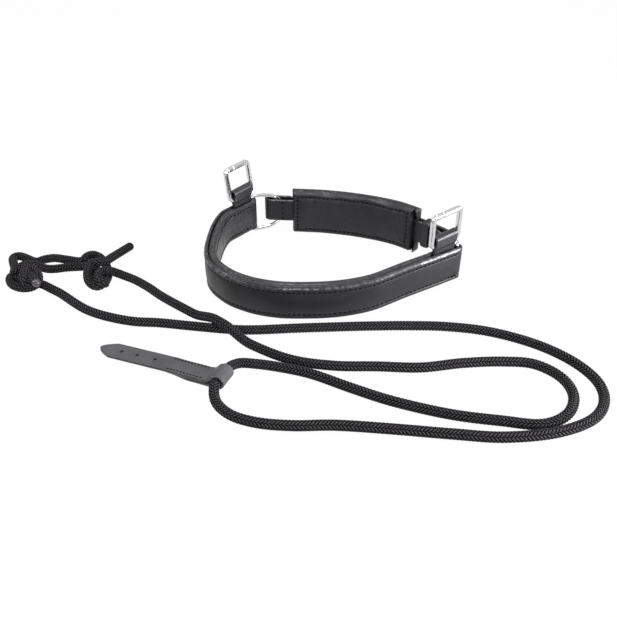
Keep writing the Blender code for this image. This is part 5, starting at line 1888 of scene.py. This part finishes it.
@dataclass
class ChinSleeve:
    """Padded panel towards the horse and the leather cover behind the strap."""

    shop: Workshop
    line: ChinLine
    start: float = 0.017
    length: float = 0.141
    height: float = 0.050
    strap_half: float = 0.0015
    gap: float = 0.0003
    skin: float = 0.0016
    fill: float = 0.0053
    backing: float = 0.0012
    cover: float = 0.0022
    cover_round: float = 0.0026
    cover_lead: float = 0.0006
    cover_foot: float = 0.0040
    border: float = 0.0055
    edge_roll: float = 0.0040
    crown_run: float = 0.018
    seam_width: float = 0.0028
    wrinkle_fade: float = 0.006
    ear: float = 0.0050
    ear_run: float = 0.003
    wave: float = 0.0036

    def __post_init__(self) -> None:
        """Work out where the pad's back lies and how thick it is."""
        self.back = self.strap_half + self.gap
        self.full = self.backing + 2 * self.gap + self.fill + self.skin

    def build(self) -> None:
        """Make the pad, the cover and their stitches."""
        self._panel()
        self._cover()

    def _face(self, d: float, z: float) -> float:
        """How far the pad's face stands out.

        Args:
            d: Distance along the chin strap's inner run.
            z: Height on the pad.

        Returns:
            Share of the pad's full thickness.
        """
        near = min(d - self.start, self.start + self.length - d, z, self.height - z)
        crown = 0.80 + 0.20 * eased(near / self.crown_run)
        seam = 0.13 * bump(near, self.border, self.seam_width)
        share = min(1.0, near / self.edge_roll)
        rolled = 0.22 + 0.78 * math.sqrt(1 - (1 - share) ** 2)
        wrinkle = ripple(0.10, d * 90, z * 40, 7.0) + ripple(0.05, d * 240, z * 130, 2.0)
        return (crown - seam) * rolled + wrinkle * eased(near / self.wrinkle_fade)

    def _panel(self) -> None:
        """Stuffed panel with a sewn border."""
        run = self.line.run
        shares = spread(0.0, 1.0, 46)
        stations = []
        for d in spread(self.start, self.start + self.length, 120):
            wave = ripple(self.wave, d * 42, 1.7)
            outline = [(self.back + self.full * max(self._face(d, self.height * share), 0.08),
                        self.height * share + wave * share ** 3) for share in shares]
            outline += [(self.back + 0.0002, self.height * share) for share in reversed(shares[4::6])]
            stations.append(run.station(d, outline))
        solid = Solid("chin_pad")
        # Lighter lines near the top and the bottom under the edge mask: partly edge wear and partly painted
        # highlight
        solid.sweep(stations, edge=lambda a, z: 0.14 * bump(min(z, self.height - z), 0.0012, 0.0024))
        obj = solid.finish(self.shop.finishes.pad)
        ride(obj, Body.CHIN, Slot.LINING_LEATHER, "chin_panel", "chin_filler", "chin_backing")
        left, right = self.start + self.border, self.start + self.length - self.border
        low, high = self.border, self.height - self.border
        corners = [(left, low), (right, low), (right, high), (left, high), (left, low)]
        for (d0, z0), (d1, z1) in zip(corners, corners[1:]):
            steps = max(2, round(math.hypot(d1 - d0, z1 - z0) / ROW_STEP))
            self.shop.stitching.beside(Body.CHIN, run, [
                (d, self.back + self.full * self._face(d, z) + ROW_LIFT, z)
                for d, z in zip(spread(d0, d1, steps), spread(z0, z1, steps))])

    def _cover(self) -> None:
        """Outer leather of the sleeve, turned in along its top and bottom."""
        run, wall, radius, high = self.line.run, self.cover, self.cover_round, self.height
        face = -(self.strap_half + self.gap + self.cover)
        bend, inside = 0.0006, face + wall
        end = self.start + self.length
        stations = []
        for d in spread(self.start - self.cover_lead, end + self.cover_foot, 96):
            ear = self.strap_half + self.ear * eased((d - end - 0.0002) / self.ear_run)
            outline = [(ear, 0.0)] + arc((face + radius, radius), radius, 270, 180, 5)
            outline += [(face, z) for z in spread(radius, high - radius, 16)[1:-1]]
            outline += arc((face + radius, high - radius), radius, 180, 90, 5)
            outline += [(ear, high), (ear, high - wall), (inside + bend, high - wall),
                        (inside, high - wall - bend), (inside, wall + bend), (inside + bend, wall),
                        (ear, wall)]
            stations.append(run.station(d, outline))
        solid = Solid("chin_sleeve_cover")
        # Lighter top and bottom edges under the edge mask: partly edge wear and partly painted highlight
        solid.sweep(stations, edge=lambda a, z: wear_and_painted_light(min(z, high - z), reach=0.002, amount=0.22))
        ride(solid.finish(self.shop.finishes.strap), Body.CHIN, Slot.BRIDLE_LEATHER, "chin_cover")


@dataclass
class Rope:
    """One knotted length of braided rope: line, stopper knot, long loop, loop knot and tail."""

    shop: Workshop
    diameter: float = 0.008
    relief: float = 0.00080
    step: float = 0.001
    braid_step: float = 0.0008
    sides: int = 40
    crossing: Vector = field(default_factory=lambda: at(-0.1045, -0.1158))
    crossing_flat: float = 0.004
    crossing_run: float = 0.034
    crossing_height: float = 0.0078
    tab_flat: float = 0.011
    rise_run: float = 0.018
    tab_fold: Vector = field(default_factory=lambda: at(-0.0965, -0.1870))
    tab_heading: float = math.radians(157.5)
    tab_width: float = 0.019
    tab_leather: float = 0.0026
    gap: float = 0.0003
    long_run: tuple[tuple[float, float], ...] = (
        (-0.0985, -0.2150), (-0.0860, -0.2300), (-0.0650, -0.2390), (-0.0370, -0.2425), (-0.0050, -0.2420),
        (0.0390, -0.2460), (0.0850, -0.2515), (0.1240, -0.2550), (0.1680, -0.2490), (0.1990, -0.2340),
        (0.2130, -0.2150), (0.2160, -0.1930), (0.2060, -0.1680), (0.1810, -0.1420), (0.1410, -0.1210),
        (0.1030, -0.1130), (0.0710, -0.1115), (0.0330, -0.1120), (-0.0300, -0.1150), (-0.0840, -0.1180),
        (-0.1310, -0.1120), (-0.1610, -0.1070), (-0.1900, -0.1040), (-0.2310, -0.0880), (-0.2680, -0.0570))
    return_run: tuple[tuple[float, float], ...] = (
        (-0.2202, -0.0219), (-0.2080, -0.0285), (-0.1920, -0.0400), (-0.1680, -0.0620), (-0.1240, -0.0990),
        (-0.0830, -0.1340), (-0.0400, -0.1610), (-0.0030, -0.1695), (0.0340, -0.1705), (0.0720, -0.1720),
        (0.1080, -0.1660), (0.1430, -0.1640), (0.1690, -0.1675), (0.1870, -0.1850), (0.1905, -0.2070),
        (0.1800, -0.2290), (0.1580, -0.2410), (0.1250, -0.2370), (0.0880, -0.2300), (0.0420, -0.2140),
        (0.0120, -0.1990), (-0.0230, -0.1800), (-0.0470, -0.1720), (-0.0700, -0.1670), (-0.0830, -0.1665))

    def build(self) -> None:
        """Make both cords and the melted ends."""
        line, loop = self._line_run(), self._through([Vector(p) for p in LOOP_ROUTE])
        line_obj = self._braid("rope_line_braid", line)
        loop_obj = self._braid("rope_loop_braid", loop)
        ride(line_obj, Body.ROOT, Slot.ROPE, "rope_line", "stopper_knot")
        ride(loop_obj, Body.ROOT, Slot.ROPE, "rope_loop", "rope_loop_return", "rope_tail", "loop_knot")
        tip = self._melted_end("stopper_tip", line, skew=0.0, reach=0.0046)
        tail = self._melted_end("tail_tip", loop, skew=0.4, reach=0.0017)
        LOG.info("rope: line %.3f m, loop and tail %.3f m", line.length, loop.length)

    def _through(self, route: list[Vector]) -> Run:
        """Smooth run through a route, steered straight on at both ends."""
        steered = [route[0] * 2 - route[1]] + route + [route[-1] * 2 - route[-2]]
        return Run.through(steered, self.step, soften=4)

    def _raised(self, points: Sequence[Vector], centre: Vector, flat: float, run: float,
                amount: float) -> list[Vector]:
        """Points lifted near a place in the plan: whole on its flat, then fading over a run."""
        return [p + UP * amount * (1 - eased(((p.xy - centre.xy).length - flat) / run)) for p in points]

    def _line_run(self) -> Run:
        """Route from the loop knot by way of the tab to the stopper knot's melted end.

        Returns:
            The run, raised where it passes through the tab and where it crosses over itself.
        """
        radius = self.diameter / 2
        across = right_of(heading(self.tab_heading)) * self.tab_width * 0.6
        up = UP * radius
        route = [Vector(p) for p in LINE_KNOT_START]
        route += [at(x, y, radius) for x, y in self.return_run[3:]]
        route += [self.tab_fold + across + up, self.tab_fold - across + up]
        route += [at(x, y, radius) for x, y in self.long_run]
        route += [Vector(p) for p in LINE_KNOT_END]
        run = self._through(route)
        lift = self.tab_leather + self.gap
        points = self._raised(run.points, self.tab_fold, self.tab_flat, self.rise_run, lift)
        reach = self.crossing_flat + self.crossing_run
        near = [i for i, p in enumerate(points) if (p - self.crossing).length < reach and i < run.count * 0.5]
        window = slice(near[0], near[-1] + 1)
        points[window] = self._raised(points[window], self.crossing, self.crossing_flat, self.crossing_run,
                                      self.crossing_height)
        return Run(points, self.step)

    def _braid(self, name: str, run: Run) -> Object:
        """Grow the braid along a run.

        Args:
            name: Name of the piece.
            run: The cord's middle line.

        Returns:
            The cord's object.
        """
        mesh = bpy.data.meshes.new(name)
        mesh.from_pydata([tuple(p) for p in run.points], [(i, i + 1) for i in range(run.count)], [])
        return grow(linked(name, mesh), self.shop.trees.braid, {
            "Radius": self.diameter / 2 - self.relief * 0.35, "Relief": self.relief, "Step": self.braid_step,
            "Sides": self.sides, "Finish": self.shop.finishes.rope})

    def _melted_end(self, name: str, run: Run, skew: float, reach: float) -> Object:
        """Rounded, slightly lumpy end where the rope's yarns were melted together.

        Args:
            name: Name of the piece.
            run: The cord whose far end it closes.
            skew: Moves its lumps.
            reach: How far it stands out.

        Returns:
            The end's object.
        """
        bm = bmesh.new()
        bmesh.ops.create_uvsphere(bm, u_segments=28, v_segments=18, radius=1.0)
        radius = self.diameter / 2 * (0.99 + 14 * (reach - 0.0017))
        for vert in bm.verts:
            lump = 1 + 0.07 * noise.noise(vert.co * 2.3 + Vector((skew * 9, 1.0, 2.0)))
            vert.co = Vector((vert.co.x * radius, vert.co.y * radius, vert.co.z * reach)) * lump
        turn = run.direction(run.length).to_track_quat("Z", "Y").to_matrix().to_4x4()
        bm.transform(Matrix.Translation(run.points[-1]) @ turn)
        obj = placed(bm, name, self.shop.finishes.melt)
        obj.data.shade_smooth()
        return ride(obj, Body.ROOT, Slot.ROPE)


@dataclass
class RopeTab:
    """Holed leather tab folded under itself round the rope."""

    shop: Workshop
    rope: Rope
    length: float = 0.121
    back: float = 0.050
    point: float = 0.013
    edge_round: float = 0.0008
    waves: float = 0.0002
    skive: float = 0.35
    skive_run: float = 0.016
    row_inset: float = 0.0026
    hole: float = 0.0036
    hole_places: tuple[float, ...] = (0.099, 0.083, 0.065)
    punch_length: float = 0.03
    step: float = 0.0009

    def build(self) -> None:
        """Make the tab with its holes and its two rows of stitches."""
        rope = self.rope
        toward = heading(rope.tab_heading)
        across = right_of(toward)
        radius, leather, half = rope.diameter / 2, rope.tab_leather, rope.tab_width / 2
        height = leather + rope.gap + radius
        axis = rope.tab_fold + UP * height
        wrap = radius + rope.gap + leather / 2
        low = leather / 2 - height
        high = low + leather + rope.gap
        run = Run.drawn(self._line(wrap, low, high), self.step)
        thick = leather / 2
        stations = []
        for d in run.distances:
            p, step = run.at(d), run.direction(d)
            left_over = run.length - d
            width = half
            if left_over < self.point:
                width *= 0.10 + 0.90 * (left_over / self.point) ** 0.62
            width += ripple(self.waves, d * 70, 0.0, 4.0)
            width *= 0.70 + 0.30 * eased(d / (1.5 * self.skive_run))
            skive = self.skive + (1 - self.skive) * eased(d / self.skive_run)
            outline = rounded_outline(-width, width, thick - 2 * thick * skive, thick,
                                      min(self.edge_round, width * 0.5, thick * skive * 0.8), 4, 12, 1)
            stations.append(Station(axis + toward * p.x + UP * p.y, across, toward * -step.y + UP * step.x,
                                    outline, d))
        solid = Solid("tab_leather_strip")
        # The tab's sides take its dark edge colour under this mask: painted shade
        solid.sweep(stations, edge=lambda a, z: wear_and_painted_light(half - abs(a), reach=0.0006, amount=5.0))
        obj = solid.finish(self.shop.finishes.tab)
        punch(obj, [Matrix.Translation(axis + toward * place) for place in self.hole_places], self.hole,
              self.punch_length)
        ride(obj, Body.TAB, Slot.BRIDLE_LEATHER, "rope_tab")
        top = high + leather / 2 + ROW_LIFT
        for side in (-1.0, 1.0):
            beside = across * side * (half - self.row_inset)
            first = axis + toward * (wrap * 2.9) + beside + UP * top
            last = axis + toward * (self.back - 0.002) + beside + UP * top
            points = [(first.lerp(last, share), UP) for share in spread(0.0, 1.0, 8)]
            self.shop.stitching.row(Body.TAB, points, FINE_STITCH)

    def _line(self, wrap: float, low: float, high: float) -> Outline:
        """The tab's middle line seen from its side, from the end underneath to the point.

        Args:
            wrap: Radius of its turn round the rope.
            low: Height of the layer underneath.
            high: Height of the layer on top.

        Returns:
            The line's points, with the rope's middle at zero.
        """
        line = [(self.back, low), (self.back * 0.6, low), (wrap * 0.9, low)]
        line += arc((0.0, 0.0), wrap, 270, 90, 18)
        line += [(wrap * 0.75, wrap * 0.72), (wrap * 1.7, high + 0.0012), (wrap * 2.6, high + 0.0002)]
        line += [(self.back * share, high) for share in (0.65, 0.85, 1.0)]
        return line + [(self.back + (self.length - self.back) * share, high + (low - high) * share)
                       for share in (0.25, 0.5, 0.75, 1.0)]


def main() -> None:
    """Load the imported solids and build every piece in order."""
    logging.basicConfig(level=logging.INFO, format="%(name)s: %(message)s")
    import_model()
    Studio().build()
    shop = Workshop()
    rope = Rope(shop)
    line = ChinLine()
    for assembly in (rope, RopeTab(shop, rope), NoseStrap(shop),
                     Ring(shop, LEFT, Body.LEFT_RING, math.radians(18)),
                     Ring(shop, RIGHT, Body.RIGHT_RING, math.radians(98)),
                     LoopFitting(shop, LEFT, Body.LEFT_LOOP, Body.LEFT_ROLLER),
                     LoopFitting(shop, RIGHT, Body.RIGHT_LOOP, Body.RIGHT_ROLLER),
                     ChinStrap(shop, line), ChinSleeve(shop, line)):
        assembly.build()
    shop.stitching.build()


if __name__ == "__main__":
    main()
